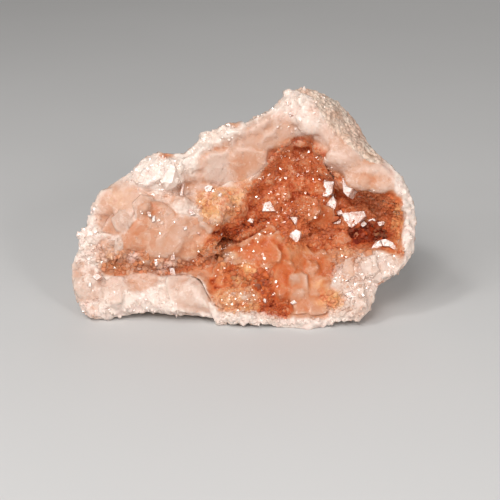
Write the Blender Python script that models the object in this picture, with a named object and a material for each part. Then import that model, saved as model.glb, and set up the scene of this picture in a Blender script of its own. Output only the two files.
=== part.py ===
"""Pink amethyst specimen: a broken piece of geode that stands on its lower edge.

The broken face leans back by LEAN. Places on it are given in millimetres as (u, v), with u to the
right and v up along the face from its lowest point, and as a height w out of the face. The wall is
a stone with a granular rind and a thick quartz edge round a recess. The crust is the layer of
quartz masses and hexagonal crystals that lines the recess.
"""

import functools
import math
import random

import bmesh
import bpy
from mathutils import Matrix, Vector, noise

WIDTH = 0.080                      # metres, over the whole stone
UNIT = WIDTH / 80.0                # metres for each millimetre of the outlines below
LEAN = math.radians(22.0)          # the broken face leans back by this
BACK_DEPTH = 33.0                  # mm from the face to the back's pole
BACK_FULLNESS = 0.75               # below 1 the back is fuller than a ball
BACK_POLE = (3.0, 25.0)            # mm, where the back bulges most
RIM_DROP = 1.6                     # mm, the face's outer edge behind its lip
RIM_WIDTH = 2.5                    # mm, how wide that edge is
RIND_SLOPE = 8.0                   # mm, how far the shoulder at the upper right falls back
RIND_SLOPE_WIDTH = 9.0             # mm, how far that shoulder runs before it is fully down
RIND_STEEPNESS = 3.0               # how steeply the recess may fall away from the outline
CAVE_STEEPNESS = 2.1               # how steeply the visible face may fall away from the outline
FINE_RELIEF = 0.7                  # mm, small unevenness of the face
BROAD_RELIEF = 1.6                 # mm, large unevenness of the face
LINING = 2.4                       # mm, the crust's thickness where the wall leaves room for it
THIN_LINING = 0.8                  # mm, the crust's least thickness
BOWL = 4.0                         # mm, the relief that the recess behind the crust smooths out
ROOT = 1.5                         # mm, how deep a crystal is rooted at most
LONGEST_LIFT = 1.5                 # mm, a crystal that would need more to clear the wall is left out
GAP = 0.3                          # mm between the crust and the wall
STONE_SIDES = 72                   # sides round the stone
RECESS_SIDES = 60                  # sides round the recess
RECESS_RINGS = 8                   # rings of the recess's bowl
RING_CROWDING = 0.55               # below 1 those rings stand closer towards its edge
LID_RINGS = 2                      # rings of the cutter's lid, above the face
LID = 8.0                          # mm, the lid's height
EDGE_RINGS = 7                     # rings of the quartz edge round the recess
BACK_RINGS = 9                     # rings of the back
FACE_STEP = 1.7                    # mm between the points of the crust's face
CENTRE = (-0.6, 25.2)              # mm, the middle that the rings run round
SEED = 17

# The stone's outline on the face, anticlockwise from its left foot.
OUTLINE = (
    (-32.9, 1.2), (-28.5, 2.5), (-26.7, 3.3), (-22.2, 4.1), (-15.4, 3.2), (-9.0, 3.1), (-5.6, 1.5),
    (0.1, 1.2), (3.5, 0.0), (5.3, 0.5), (14.4, 0.2), (20.3, 0.7), (24.3, 0.9), (28.0, 3.2),
    (30.1, 5.4), (29.8, 7.7), (31.4, 10.7), (34.8, 12.7), (37.5, 15.2), (39.5, 18.4), (39.4, 23.4),
    (40.0, 26.8), (38.6, 30.4), (38.0, 32.7), (34.8, 37.2), (32.3, 39.0), (29.1, 42.7),
    (27.4, 47.0), (24.8, 50.8), (20.3, 54.2), (17.5, 54.5), (15.5, 55.7), (12.3, 55.8),
    (9.4, 53.8), (6.0, 50.2), (1.6, 47.9), (-0.4, 47.4), (-2.2, 47.9), (-8.1, 45.3),
    (-13.3, 40.5), (-15.6, 40.4), (-17.6, 41.1), (-22.2, 39.9), (-25.4, 36.5), (-30.1, 34.0),
    (-33.5, 30.0), (-34.4, 28.4), (-35.1, 25.2), (-37.8, 21.8), (-38.1, 20.0), (-37.5, 17.5),
    (-39.7, 14.5), (-40.0, 12.7), (-38.5, 6.4), (-37.8, 4.5), (-36.0, 2.8),
)

# The lining's edge on the face, anticlockwise from its lowest point.
HOLLOW = (
    (8.5, 4.0), (12.1, 3.8), (18.7, 4.2), (23.2, 5.4), (24.6, 6.8), (23.9, 9.3), (23.6, 12.0),
    (26.2, 15.0), (28.0, 17.0), (30.0, 17.9), (32.6, 17.2), (34.8, 16.2), (35.9, 20.7),
    (36.1, 27.0), (34.3, 30.6), (31.0, 31.6), (28.4, 31.1), (25.0, 32.7), (21.2, 35.0),
    (19.1, 37.4), (18.0, 41.3), (15.0, 43.4), (11.0, 43.4), (7.3, 41.3), (5.5, 38.6),
    (3.0, 37.0), (-2.4, 34.3), (-7.9, 31.6), (-12.9, 30.6), (-19.2, 32.0), (-26.0, 30.6),
    (-30.1, 26.8), (-33.8, 20.7), (-34.2, 15.7), (-32.4, 11.3), (-27.4, 11.6), (-21.0, 13.0),
    (-14.2, 12.9), (-9.7, 11.6), (-7.9, 8.0), (-6.3, 5.4), (-0.6, 4.4),
)

# The cave: the deep part of the hollow, whose walls drop steeply from its edge.
CAVE = (
    (13.0, 44.3), (16.9, 42.9), (19.1, 37.4), (25.0, 32.7), (30.7, 31.4), (35.0, 29.6),
    (36.0, 24.7), (35.4, 18.8), (28.9, 18.8), (21.2, 16.1), (17.5, 16.5), (13.9, 18.4),
    (9.4, 21.1), (4.4, 22.5), (1.0, 22.0), (-6.3, 16.6), (-12.0, 15.0), (-8.0, 19.4),
    (-3.3, 23.4), (-0.6, 26.1), (1.2, 32.9), (5.3, 38.4), (9.1, 42.0),
)
CAVE_DROP = 4.0                    # mm, the cave's walls
CAVE_SLOPE = 2.2                   # mm, how wide those walls are on the face

# The broken edge at the upper right, beyond which the rind's shoulder falls back.
SHOULDER = (
    (11.0, 54.4), (14.8, 53.2), (16.6, 51.0), (18.9, 46.6), (21.6, 43.8), (25.0, 41.0),
    (28.4, 38.0), (32.0, 37.4),
)
SHOULDER_CORNER = ((45.0, 37.4), (45.0, 60.0), (11.0, 60.0))     # the far side of that shoulder

# Depths sounded over the face: (u, v, w) in millimetres.
SOUNDINGS = (
    # the quartz edge, from the left foot by the bottom, the right and the top
    (-32.0, 4.0, -3.2), (-28.0, 5.0, -2.8), (-22.0, 6.0, -2.2), (-15.0, 5.5, -1.6),
    (-8.0, 5.0, -1.0), (-1.0, 2.5, -0.3), (6.0, 2.0, 0.2), (14.0, 2.0, 0.2), (22.0, 2.5, 0.0),
    (27.0, 5.0, -0.8), (31.0, 10.0, -0.6), (36.0, 15.5, -0.3), (37.8, 22.0, 0.0),
    (37.8, 29.0, 0.0), (34.0, 35.0, 0.0), (28.0, 37.5, 0.5), (24.0, 41.0, 0.5),
    (19.5, 46.0, 0.3), (15.0, 51.0, 0.0), (10.0, 52.0, -0.5), (5.0, 47.0, -0.6),
    (-2.0, 45.0, -0.6), (-10.0, 41.0, -0.8), (-20.0, 37.5, -1.0), (-30.0, 30.0, -1.6),
    (-35.5, 21.0, -2.0), (-37.0, 12.0, -2.6),
    # the massive quartz inside the top edge
    (-20.0, 33.5, -2.8), (-12.0, 36.0, -3.2), (-5.0, 40.0, -3.0), (0.0, 41.0, -3.8),
    (4.0, 44.0, -3.2), (9.0, 48.0, -2.2), (-12.0, 31.5, -5.4), (-5.0, 33.5, -6.0),
    (1.0, 36.0, -6.4), (5.5, 40.0, -6.0), (11.0, 45.5, -4.6),
    # the left side, with its gully
    (-30.0, 25.0, -4.2), (-33.0, 16.0, -4.0), (-29.0, 13.5, -6.4), (-22.0, 14.2, -7.4),
    (-15.0, 14.2, -8.0), (-9.0, 16.0, -8.2), (-4.0, 20.0, -8.4), (-26.0, 9.0, -3.2),
    (-18.0, 9.6, -3.2), (-12.0, 9.0, -2.8),
    # the cave's floor, less its walls' drop
    (0.0, 23.5, -5.6), (2.0, 27.0, -5.4), (6.0, 31.0, -5.8), (8.0, 36.0, -6.2),
    (13.0, 40.0, -6.6), (13.0, 33.0, -7.4), (15.0, 27.0, -6.2), (10.0, 24.0, -5.8),
    (20.0, 30.0, -8.4), (25.0, 27.0, -9.4), (30.0, 25.0, -9.8), (34.0, 24.0, -8.4),
    (28.0, 21.0, -7.4), (19.0, 21.0, -6.2), (-6.0, 28.0, -6.4),
    # the lower middle and right
    (-1.0, 14.0, -5.6), (-5.0, 11.0, -5.0), (-2.0, 7.0, -3.6), (5.0, 6.0, -3.8),
    (7.0, 12.0, -4.6), (10.0, 6.5, -4.6), (13.0, 13.0, -6.0), (17.0, 10.0, -4.5),
    (21.0, 7.0, -3.2), (20.5, 14.0, -5.6), (25.0, 12.0, -3.4), (30.0, 14.0, -2.0),
)
SOUNDING_REACH = 2.6               # mm, how far each sounding is felt

# Rounded masses that stand up from the face: (u, v, half width, half height, w at the top).
MASSES = {
    "rose mass": (-18.1, 23.4, 12.4, 8.8, -1.0),
    "rose mass lobe": (-9.2, 22.3, 3.6, 5.0, -3.4),
    "middle boss": (5.7, 17.0, 9.0, 5.8, -2.6),
    "boss foot": (10.2, 10.6, 4.6, 6.8, -3.2),
    "lower bench": (-0.6, 7.6, 7.6, 4.8, -2.0),
    "pale pane": (16.4, 9.6, 7.0, 6.2, -2.4),
    "yellow shoulder": (-6.3, 28.0, 5.8, 4.6, -4.4),
    "cave knob": (15.0, 27.4, 4.8, 4.0, -6.6),
    "west lip": (15.0, 48.0, 3.8, 4.4, 0.9),
    "middle lip": (23.4, 39.6, 4.6, 3.6, 1.0),
    "east lip": (28.0, 34.6, 5.0, 3.4, 0.2),
    "east block": (29.8, 13.4, 7.2, 5.2, -0.4),
    "south-east block": (25.8, 7.0, 4.4, 4.4, -0.6),
    "left pane": (-12.0, 8.0, 4.4, 5.0, -0.9),
    "left foot pane": (-27.9, 8.0, 6.2, 3.4, -1.8),
    "upper left block": (-19.9, 35.4, 7.8, 4.6, -0.4),
}

# Feet under the stone: (x, y, radius) in millimetres before the stone is centred.
FEET = (
    (13.0, 4.0, 10.0), (-31.0, 8.0, 7.0), (-17.0, 29.0, 9.0), (18.0, 30.0, 10.0), (3.0, 14.0, 7.0),
)
SOLE = 1.2                         # mm, the wall's least thickness under the recess
UNDERSIDE = 1.5                    # mm, the underside's height between the feet
FOOT_DEPTH = 3.0                   # mm, how far a foot reaches down before it is cut flat

# The largest crystals: (u, v, radius, height, lean from the face's normal, its direction), with
# the angles in degrees and the direction anticlockwise from u.
CRYSTALS = (
    (18.4, 31.6, 2.4, 5.8, 8.0, 90.0), (20.0, 28.6, 2.2, 4.4, 24.0, 60.0),
    (25.3, 25.2, 3.2, 5.0, 20.0, 330.0), (30.0, 25.0, 2.5, 4.2, 16.0, 300.0),
    (23.4, 29.0, 2.2, 3.8, 8.0, 90.0), (15.6, 28.0, 2.7, 4.8, 28.0, 200.0),
    (11.4, 22.6, 2.5, 4.6, 26.0, 140.0), (5.8, 27.9, 2.4, 4.2, 20.0, 100.0),
    (1.4, 25.6, 2.1, 3.8, 18.0, 60.0), (9.3, 30.8, 2.2, 4.0, 24.0, 20.0),
    (13.6, 33.6, 2.3, 4.0, 20.0, 280.0), (11.0, 37.0, 2.0, 3.6, 20.0, 320.0),
    (15.0, 38.6, 2.0, 3.6, 20.0, 250.0), (-8.4, 24.8, 2.6, 4.8, 30.0, 20.0),
    (-8.2, 19.9, 2.4, 4.8, 34.0, 330.0), (-29.4, 19.4, 2.8, 4.8, 20.0, 60.0),
    (-27.0, 25.0, 2.4, 4.2, 8.0, 330.0), (-22.6, 28.4, 2.4, 4.2, 16.0, 300.0),
    (28.0, 27.8, 2.0, 3.6, 10.0, 190.0), (31.8, 22.2, 2.2, 3.8, 24.0, 170.0),
    (-4.0, 13.6, 2.4, 4.0, 26.0, 120.0), (0.6, 7.6, 2.6, 4.0, 14.0, 90.0),
    (20.0, 9.0, 3.0, 4.4, 14.0, 120.0), (13.2, 8.0, 2.5, 4.0, 12.0, 90.0),
    (-5.0, 29.2, 2.3, 4.0, 20.0, 60.0), (-14.0, 28.4, 2.0, 3.6, 24.0, 60.0),
    (5.4, 35.0, 2.0, 3.6, 22.0, 330.0), (28.0, 20.4, 2.3, 4.0, 26.0, 100.0),
)

# Smaller crystals, sown at random: (name, u, v, half width, half height, count, radius).
SOWN = (
    ("cave", 23.0, 26.0, 13.0, 9.0, 70, 1.7), ("dome", 12.0, 37.0, 6.0, 7.0, 30, 1.4),
    ("valley", 1.0, 26.0, 8.0, 6.0, 30, 1.5), ("gully", -17.0, 15.2, 14.0, 2.6, 34, 1.6),
    ("shoulder", -6.5, 28.0, 5.0, 3.5, 14, 1.6), ("bench", -1.0, 10.0, 7.0, 6.0, 30, 1.5),
    ("pane", 17.0, 10.0, 6.5, 6.0, 22, 1.8), ("left", -30.0, 20.0, 4.0, 8.0, 24, 1.8),
    ("foot", 10.0, 9.0, 4.0, 5.0, 12, 1.4), ("boss edge", 5.0, 21.5, 8.0, 1.6, 12, 1.4),
)

STAND = Matrix.Rotation(math.pi / 2.0 - LEAN, 4, "X")     # from the lying face to the standing one
STONE = bpy.data.collections.new("pink_amethyst")
CUTTERS = bpy.data.collections.new("cutters")


def smooth_step(value):
    """0 below 0, 1 above 1, and a smooth rise between."""
    value = min(1.0, max(0.0, value))
    return value * value * (3.0 - 2.0 * value)


def segment_distance(point, start, end):
    """The distance from a point to a straight segment."""
    along = end - start
    share = min(1.0, max(0.0, (point - start).dot(along) / along.length_squared))
    return (point - start - along * share).length


def line_distance(point, line, closed):
    """The distance from a point to a line of points."""
    ends = [Vector(p) for p in line]
    last = len(ends) if closed else len(ends) - 1
    return min(segment_distance(point, ends[i], ends[(i + 1) % len(ends)]) for i in range(last))


def is_inside(point, outline):
    """True where the point lies inside a closed outline."""
    inside = False
    for (u0, v0), (u1, v1) in zip(outline, outline[1:] + outline[:1]):
        if (v0 > point.y) != (v1 > point.y):
            if point.x < u0 + (u1 - u0) * (point.y - v0) / (v1 - v0):
                inside = not inside
    return inside


def reach(outline, angle):
    """The distance from CENTRE to a closed outline in one direction."""
    direction = Vector((math.cos(angle), math.sin(angle)))
    furthest = 0.0
    for start, end in zip(outline, outline[1:] + outline[:1]):
        a = Vector(start) - Vector(CENTRE)
        b = Vector(end) - Vector(CENTRE)
        turn = direction.cross(b - a)
        if abs(turn) < 1e-9:
            continue
        share = a.cross(direction) / turn
        distance = a.cross(b - a) / turn
        if 0.0 <= share <= 1.0 and distance > furthest:
            furthest = distance
    return furthest


def sounded_depth(point):
    """The height of the face from the soundings alone."""
    total = 0.0
    weight = 1e-9
    for u, v, w in SOUNDINGS:
        gap = (point - Vector((u, v))).length / SOUNDING_REACH
        share = 1.0 / (0.05 + gap ** 4)
        total += share * w
        weight += share
    return total / weight


def face_height(u, v):
    """The height w of the visible face at (u, v), in millimetres."""
    point = Vector((u, v))
    height = sounded_depth(point)
    if is_inside(point, CAVE):
        height -= CAVE_DROP * smooth_step(line_distance(point, CAVE, True) / CAVE_SLOPE)
    for mu, mv, half_u, half_v, top in MASSES.values():
        spread = ((u - mu) / half_u) ** 2 + ((v - mv) / half_v) ** 2
        if spread < 1.0:
            drop = (top - height) * (1.0 - (1.0 - spread) ** 0.8)
            height = max(height, top - drop)
    height += FINE_RELIEF * noise.noise(Vector((u, v, 0.0)) * 0.35)
    height += BROAD_RELIEF * noise.noise(Vector((u, v, 40.0)) * 0.11)
    edge = line_distance(point, OUTLINE, True)
    height = max(height, min(-4.5, 1.5 - CAVE_STEEPNESS * edge))
    height -= RIM_DROP * (1.0 - smooth_step(edge / RIM_WIDTH))
    if is_inside(point, SHOULDER + SHOULDER_CORNER):
        beyond = line_distance(point, SHOULDER, False)
        height -= RIND_SLOPE * smooth_step(beyond / RIND_SLOPE_WIDTH)
    return height


def node_material(name, colour, roughness):
    """A plain material in the colour of a node's stone."""
    material = bpy.data.materials.new(name)
    material.use_nodes = True
    shader = material.node_tree.nodes["Principled BSDF"]
    shader.inputs["Base Color"].default_value = (*colour, 1.0)
    shader.inputs["Roughness"].default_value = roughness
    shader.inputs["Metallic"].default_value = 0.0
    return material


def add_object(name, mesh_maker, collection):
    """An object whose mesh is what the bmesh holds."""
    mesh = bpy.data.meshes.new(name)
    mesh_maker.to_mesh(mesh)
    mesh_maker.free()
    piece = bpy.data.objects.new(name, mesh)
    piece.rotation_euler = STAND.to_euler()
    piece.scale = (UNIT, UNIT, UNIT)
    collection.objects.link(piece)
    return piece


def ringed_ball(sides, rings):
    """A ball with its pole towards the face, and each vertex's ring and side."""
    ball = bmesh.new()
    bmesh.ops.create_uvsphere(ball, u_segments=sides, v_segments=rings, radius=1.0)
    places = {}
    for vertex in ball.verts:
        ring = round(math.acos(max(-1.0, min(1.0, vertex.co.z))) / math.pi * rings)
        places[vertex] = (ring, math.atan2(vertex.co.y, vertex.co.x))
    return ball, places


def from_centre(radius, side):
    """The place (u, v) at a distance from CENTRE in one direction."""
    return CENTRE[0] + radius * math.cos(side), CENTRE[1] + radius * math.sin(side)


@functools.lru_cache(maxsize=None)
def recess_height(u, v):
    """The height of the recess behind the crust: a smooth bowl, clear of every crystal's root."""
    around = [math.tau * turn / 8.0 for turn in range(8)]
    nearby = [face_height(u + BOWL * math.cos(a), v + BOWL * math.sin(a)) for a in around]
    face = face_height(u, v)
    above_floor = (UNDERSIDE + SOLE - v * math.cos(LEAN)) / math.sin(LEAN)
    within_rind = 2.0 - RIND_STEEPNESS * line_distance(Vector((u, v)), OUTLINE, True)
    return min(face - THIN_LINING, max(min(face, *nearby) - LINING, above_floor, within_rind))


def make_recess(inset):
    """A cutter that fills the recess, with its bowl and sides drawn in by the inset."""
    rings = LID_RINGS + RECESS_RINGS + 1
    cutter, places = ringed_ball(RECESS_SIDES, rings)
    for vertex, (ring, side) in places.items():
        lid_share = ring / LID_RINGS
        share = min(lid_share, ((rings - ring) / RECESS_RINGS) ** RING_CROWDING)
        u, v = from_centre(reach(HOLLOW, side) * share, side)
        w = LID if lid_share <= 1.0 else recess_height(u, v) + inset
        if share == 1.0:
            u, v = from_centre(reach(HOLLOW, side) - inset, side)
        vertex.co = (u, v, w)
    bmesh.ops.triangulate(cutter, faces=cutter.faces[:], quad_method="FIXED")
    return cutter


def back_place(turn, side):
    """A point (u, v, w) of the back, turned away from the outline by an angle."""
    outer = reach(OUTLINE, side)
    rounder = sum(reach(OUTLINE, side + step) for step in (-0.5, -0.25, 0.0, 0.25, 0.5)) / 5.0
    u, v = from_centre(outer, side)
    edge_height = face_height(u, v)
    u, v = from_centre(outer + (rounder - outer) * smooth_step(1.4 * turn), side)
    spread = math.cos(turn) ** BACK_FULLNESS
    u = BACK_POLE[0] + (u - BACK_POLE[0]) * spread
    v = BACK_POLE[1] + (v - BACK_POLE[1]) * spread
    w = edge_height - (BACK_DEPTH + edge_height) * math.sin(turn) ** 0.95
    place = Vector((u, v, w))
    lump = 2.8 * noise.noise(place * 0.07) + 1.5 * noise.noise(place * 0.17)
    outwards = Vector((u - BACK_POLE[0], v - BACK_POLE[1], w)).normalized()
    return place + outwards * lump * math.sin(turn)


def wall_place(ring, side):
    """The point (u, v, w) of the stone at one ring: the face's edge and then the back."""
    outer = reach(OUTLINE, side)
    if ring <= EDGE_RINGS:
        inner = reach(HOLLOW, side) - 2.0
        share = max(0.0, (ring - 1) / (EDGE_RINGS - 1))
        u, v = from_centre((inner + (outer - inner) * share) * min(1, ring), side)
        return Vector((u, v, face_height(u, v)))
    return back_place((ring - EDGE_RINGS) / BACK_RINGS * math.pi / 2.0, side)


def underside_height(x, y):
    """The lowest that the stone reaches at a place of the floor, in millimetres."""
    height = UNDERSIDE + 0.9 * noise.noise(Vector((x, y, 5.0)) * 0.18)
    for foot_x, foot_y, radius in FEET:
        gap = math.hypot(x - foot_x, y - foot_y) / radius
        height -= FOOT_DEPTH * (1.0 - smooth_step(gap))
    return height


def add_cutter(name, mesh_maker):
    """An object that only cuts or joins another."""
    cutter = add_object(name, mesh_maker, CUTTERS)
    cutter.hide_render = True
    cutter.display_type = "WIRE"
    return cutter


def combine(piece, operation, other):
    """Cuts or joins a piece with a cutter."""
    step = piece.modifiers.new(other.name, "BOOLEAN")
    step.operation = operation
    step.object = other


def make_wall():
    """The stone: rind, quartz edge and the recess for the crust, on feet that are cut flat."""
    ball, places = ringed_ball(STONE_SIDES, EDGE_RINGS + BACK_RINGS)
    for vertex, (ring, side) in places.items():
        place = STAND @ wall_place(ring, side)
        place.z = max(place.z, underside_height(place.x, place.y))
        vertex.co = STAND.inverted() @ place
    wall = add_object("geode_wall", ball, STONE)
    wall.data.materials.append(node_material("pale_quartz", (0.80, 0.62, 0.54), 0.6))
    combine(wall, "DIFFERENCE", add_cutter("recess_cutter", make_recess(0.0)))
    floor = bmesh.new()
    bmesh.ops.create_cube(floor, size=160.0, matrix=Matrix.Translation((0.0, 0.0, -80.0)))
    floor_cutter = add_cutter("floor_cutter", floor)
    floor_cutter.rotation_euler = (0.0, 0.0, 0.0)
    combine(wall, "DIFFERENCE", floor_cutter)
    return wall


def make_face_block():
    """A block whose top is the visible face, over the whole hollow."""
    lowest = [min(place[axis] for place in HOLLOW) - FACE_STEP for axis in (0, 1)]
    highest = [max(place[axis] for place in HOLLOW) + FACE_STEP for axis in (0, 1)]
    counts = [round((highest[axis] - lowest[axis]) / FACE_STEP) for axis in (0, 1)]
    block = bmesh.new()
    bmesh.ops.create_grid(block, x_segments=counts[0], y_segments=counts[1], size=0.5)
    for vertex in block.verts:
        u, v = (low + (high - low) * (share + 0.5)
                for low, high, share in zip(lowest, highest, vertex.co.xy))
        vertex.co = (u, v, face_height(u, v))
    bmesh.ops.triangulate(block, faces=block.faces[:], quad_method="SHORT_EDGE")
    sunk = bmesh.ops.extrude_face_region(block, geom=block.faces[:])["geom"]
    for item in sunk:
        if isinstance(item, bmesh.types.BMVert):
            item.co.z = -BACK_DEPTH
    bmesh.ops.recalc_face_normals(block, faces=block.faces[:])
    return block


def face_normal(u, v):
    """The direction that the face looks in at (u, v), taken over a few millimetres."""
    step = 2.0
    rise_u = (face_height(u + step, v) - face_height(u - step, v)) / (2.0 * step)
    rise_v = (face_height(u, v + step) - face_height(u, v - step)) / (2.0 * step)
    return Vector((-0.35 * rise_u, -0.35 * rise_v, 1.0)).normalized()


def wall_clearance(place):
    """How far a point stands clear of the wall, along w."""
    spot = place.xy
    if is_inside(spot, HOLLOW) and line_distance(spot, HOLLOW, True) > 0.6:
        return place.z - recess_height(place.x, place.y) - 3.0 * GAP
    return place.z - face_height(place.x, place.y) - GAP


def add_crystal(target, u, v, radius, height, lean, direction):
    """One six-sided crystal with a pointed end, rooted in the crust."""
    tip = 0.75 * radius
    body = height - tip
    made = bmesh.ops.create_cone(target, cap_ends=True, segments=6, radius1=radius,
                                 radius2=radius, depth=body)
    top = max(
        {face for vertex in made["verts"] for face in vertex.link_faces},
        key=lambda face: face.calc_center_median().z,
    )
    point = bmesh.ops.poke(target, faces=[top])["verts"][0]
    point.co.z += tip
    around = math.radians(direction)
    tilt = Matrix.Rotation(math.radians(lean), 4, Vector((-math.sin(around), math.cos(around), 0.0)))
    turn = Matrix.Rotation(around * 3.0, 4, "Z")
    upright = face_normal(u, v).to_track_quat("Z", "Y").to_matrix().to_4x4()
    root = Matrix.Translation((u, v, face_height(u, v) + 0.5 * body - ROOT))
    verts = made["verts"] + [point]
    bmesh.ops.transform(target, matrix=root @ tilt @ upright @ turn, verts=verts)
    lift = max(0.0, -min(wall_clearance(corner.co) for corner in verts))
    if lift > LONGEST_LIFT:
        bmesh.ops.delete(target, geom=verts)
    else:
        bmesh.ops.translate(target, verts=verts, vec=(0.0, 0.0, lift))


def sown_crystals():
    """The smaller crystals' places and sizes, with none across the hollow's edge."""
    rng = random.Random(SEED)
    grown = [(Vector(crystal[:2]), crystal[2]) for crystal in CRYSTALS]
    for _name, u, v, half_u, half_v, count, radius in SOWN:
        for _ in range(count):
            angle = rng.uniform(0.0, math.tau)
            far = math.sqrt(rng.random())
            place = Vector((u + half_u * far * math.cos(angle), v + half_v * far * math.sin(angle)))
            size = radius * rng.uniform(0.75, 1.25)
            lean = rng.uniform(8.0, 42.0)
            direction = rng.uniform(0.0, 360.0)
            if not is_inside(place, HOLLOW) or line_distance(place, HOLLOW, True) < 1.0 + 1.5 * size:
                continue
            if any((place - other).length < 0.8 * (size + wide) for other, wide in grown):
                continue
            grown.append((place, size))
            yield place.x, place.y, size, size * rng.uniform(1.6, 2.1), lean, direction


def apart_groups(crystals):
    """The crystals in groups, in each of which no crystal reaches another."""
    groups = []
    for crystal in crystals:
        place = Vector(crystal[:2])
        span = max(crystal[2], 0.6 * crystal[3]) + 0.3
        for group in groups:
            if all((place - other).length > span + reach_out for other, reach_out, _ in group):
                group.append((place, span, crystal))
                break
        else:
            groups.append([(place, span, crystal)])
    return [[crystal for _, _, crystal in group] for group in groups]


def make_crust():
    """The crust: the face over the recess, with all the crystals grown into it."""
    crust = add_object("crystal_crust", make_face_block(), STONE)
    crust.data.materials.append(node_material("rose_quartz", (0.66, 0.32, 0.20), 0.3))
    combine(crust, "INTERSECT", add_cutter("crust_cutter", make_recess(GAP)))
    for number, group in enumerate(apart_groups((*CRYSTALS, *sown_crystals()))):
        cluster = bmesh.new()
        for crystal in group:
            add_crystal(cluster, *crystal)
        combine(crust, "UNION", add_cutter(f"crystal_cutter_{number}", cluster))
    return crust


def centre_over_origin(wall):
    """Moves the whole stone so that its box stands centred over the origin."""
    corners = [STAND @ vertex.co for vertex in wall.data.vertices]
    middle_x = (min(c.x for c in corners) + max(c.x for c in corners)) / 2.0
    middle_y = (min(c.y for c in corners) + max(c.y for c in corners)) / 2.0
    for piece in bpy.data.objects:
        piece.location = (-middle_x * UNIT, -middle_y * UNIT, 0.0)


def main():
    """Builds the stone."""
    for old in list(bpy.data.objects):
        bpy.data.objects.remove(old, do_unlink=True)
    bpy.context.scene.collection.children.link(STONE)
    bpy.context.scene.collection.children.link(CUTTERS)
    wall = make_wall()
    make_crust()
    centre_over_origin(wall)


main()
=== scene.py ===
"""Pink amethyst specimen, dressed: a broken geode whose hollow is lined with stained quartz.

Every shape is made in the specimen's face frame, in millimetres: u to the right and v up along
the broken face, and w out of it. FaceFrame carries the finished shapes to the standing stone.
"""

import enum
import logging
import math
import random
from dataclasses import dataclass
from functools import cached_property, reduce
from typing import Iterator, Sequence

import bmesh
import bpy
import numpy as np
from mathutils import Matrix, Vector, noise
from mathutils.bvhtree import BVHTree


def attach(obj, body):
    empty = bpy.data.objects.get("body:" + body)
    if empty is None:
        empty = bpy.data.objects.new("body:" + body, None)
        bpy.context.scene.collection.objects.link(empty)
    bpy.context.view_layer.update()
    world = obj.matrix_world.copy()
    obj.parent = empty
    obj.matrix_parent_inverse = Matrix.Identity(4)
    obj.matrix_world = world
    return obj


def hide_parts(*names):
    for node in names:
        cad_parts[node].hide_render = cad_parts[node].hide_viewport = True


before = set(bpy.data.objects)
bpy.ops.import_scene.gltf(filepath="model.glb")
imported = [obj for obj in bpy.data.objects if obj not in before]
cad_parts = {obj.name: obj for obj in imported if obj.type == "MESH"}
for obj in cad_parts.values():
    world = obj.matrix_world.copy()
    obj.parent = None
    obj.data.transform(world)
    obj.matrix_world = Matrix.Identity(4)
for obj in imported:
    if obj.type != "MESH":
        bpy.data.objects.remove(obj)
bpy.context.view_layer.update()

LOG = logging.getLogger("pink_amethyst")
BODY = "root"
ROSE_SLOT = "rose_quartz"

METRE = 1000.0  # mm
MERGED = 0.002  # mm, how close two points are taken for one
BEHIND_RIM = -3.0  # mm, the w that is taken where a line of sight misses the stone
QUARTZ_IOR = 1.544

Place = tuple[float, float]  # (u, v) in mm, as seen from the eye
Outline = tuple[Place, ...]
Colour = tuple[float, float, float]  # as a display shows it
Array = np.ndarray
Shape = bmesh.types.BMesh
Mesh = bpy.types.Mesh
Piece = bpy.types.Object
Material = bpy.types.Material
Socket = bpy.types.NodeSocket


class Trait(enum.Enum):
    """What the quartz is like at a place: each is one float attribute of a mesh's points."""

    RUST = "rust"  # iron oxide, from salmon through orange to a deep red-brown
    AMBER = "amber"  # hydrous iron oxide, honey yellow
    MILK = "milk"  # white, cloudy quartz
    GRAIN = "grain"  # how granular the quartz is, from one smooth mass to loose sugar


SHADE_SPREAD = {Trait.RUST: 0.04, Trait.AMBER: 0.10, Trait.MILK: 0.03, Trait.GRAIN: 0.0}
SOWN_GRAIN = (0.15, 0.45)  # the grain below which none, and above which all crystals grow


def smooth_step(value: Array, low: float, high: float) -> Array:
    """Rise smoothly from 0 to 1.

    Args:
        value: The values to judge.
        low: Where the rise starts.
        high: Where the rise ends.

    Returns:
        0 below low, 1 above high, and a smooth rise between.
    """
    share = np.clip((value - low) / (high - low), 0.0, 1.0)
    return share * share * (3.0 - 2.0 * share)


def distance_to(start: Place, end: Place, u: Array, v: Array) -> Array:
    """Measure how far places are from a straight line.

    Args:
        start: One end of the line.
        end: Its other end.
        u: The places' u, in mm.
        v: The places' v, in mm.

    Returns:
        The distances, in mm.
    """
    du, dv = end[0] - start[0], end[1] - start[1]
    share = ((u - start[0]) * du + (v - start[1]) * dv) / (du * du + dv * dv)
    share = np.clip(share, 0.0, 1.0)
    return np.hypot(u - start[0] - share * du, v - start[1] - share * dv)


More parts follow.
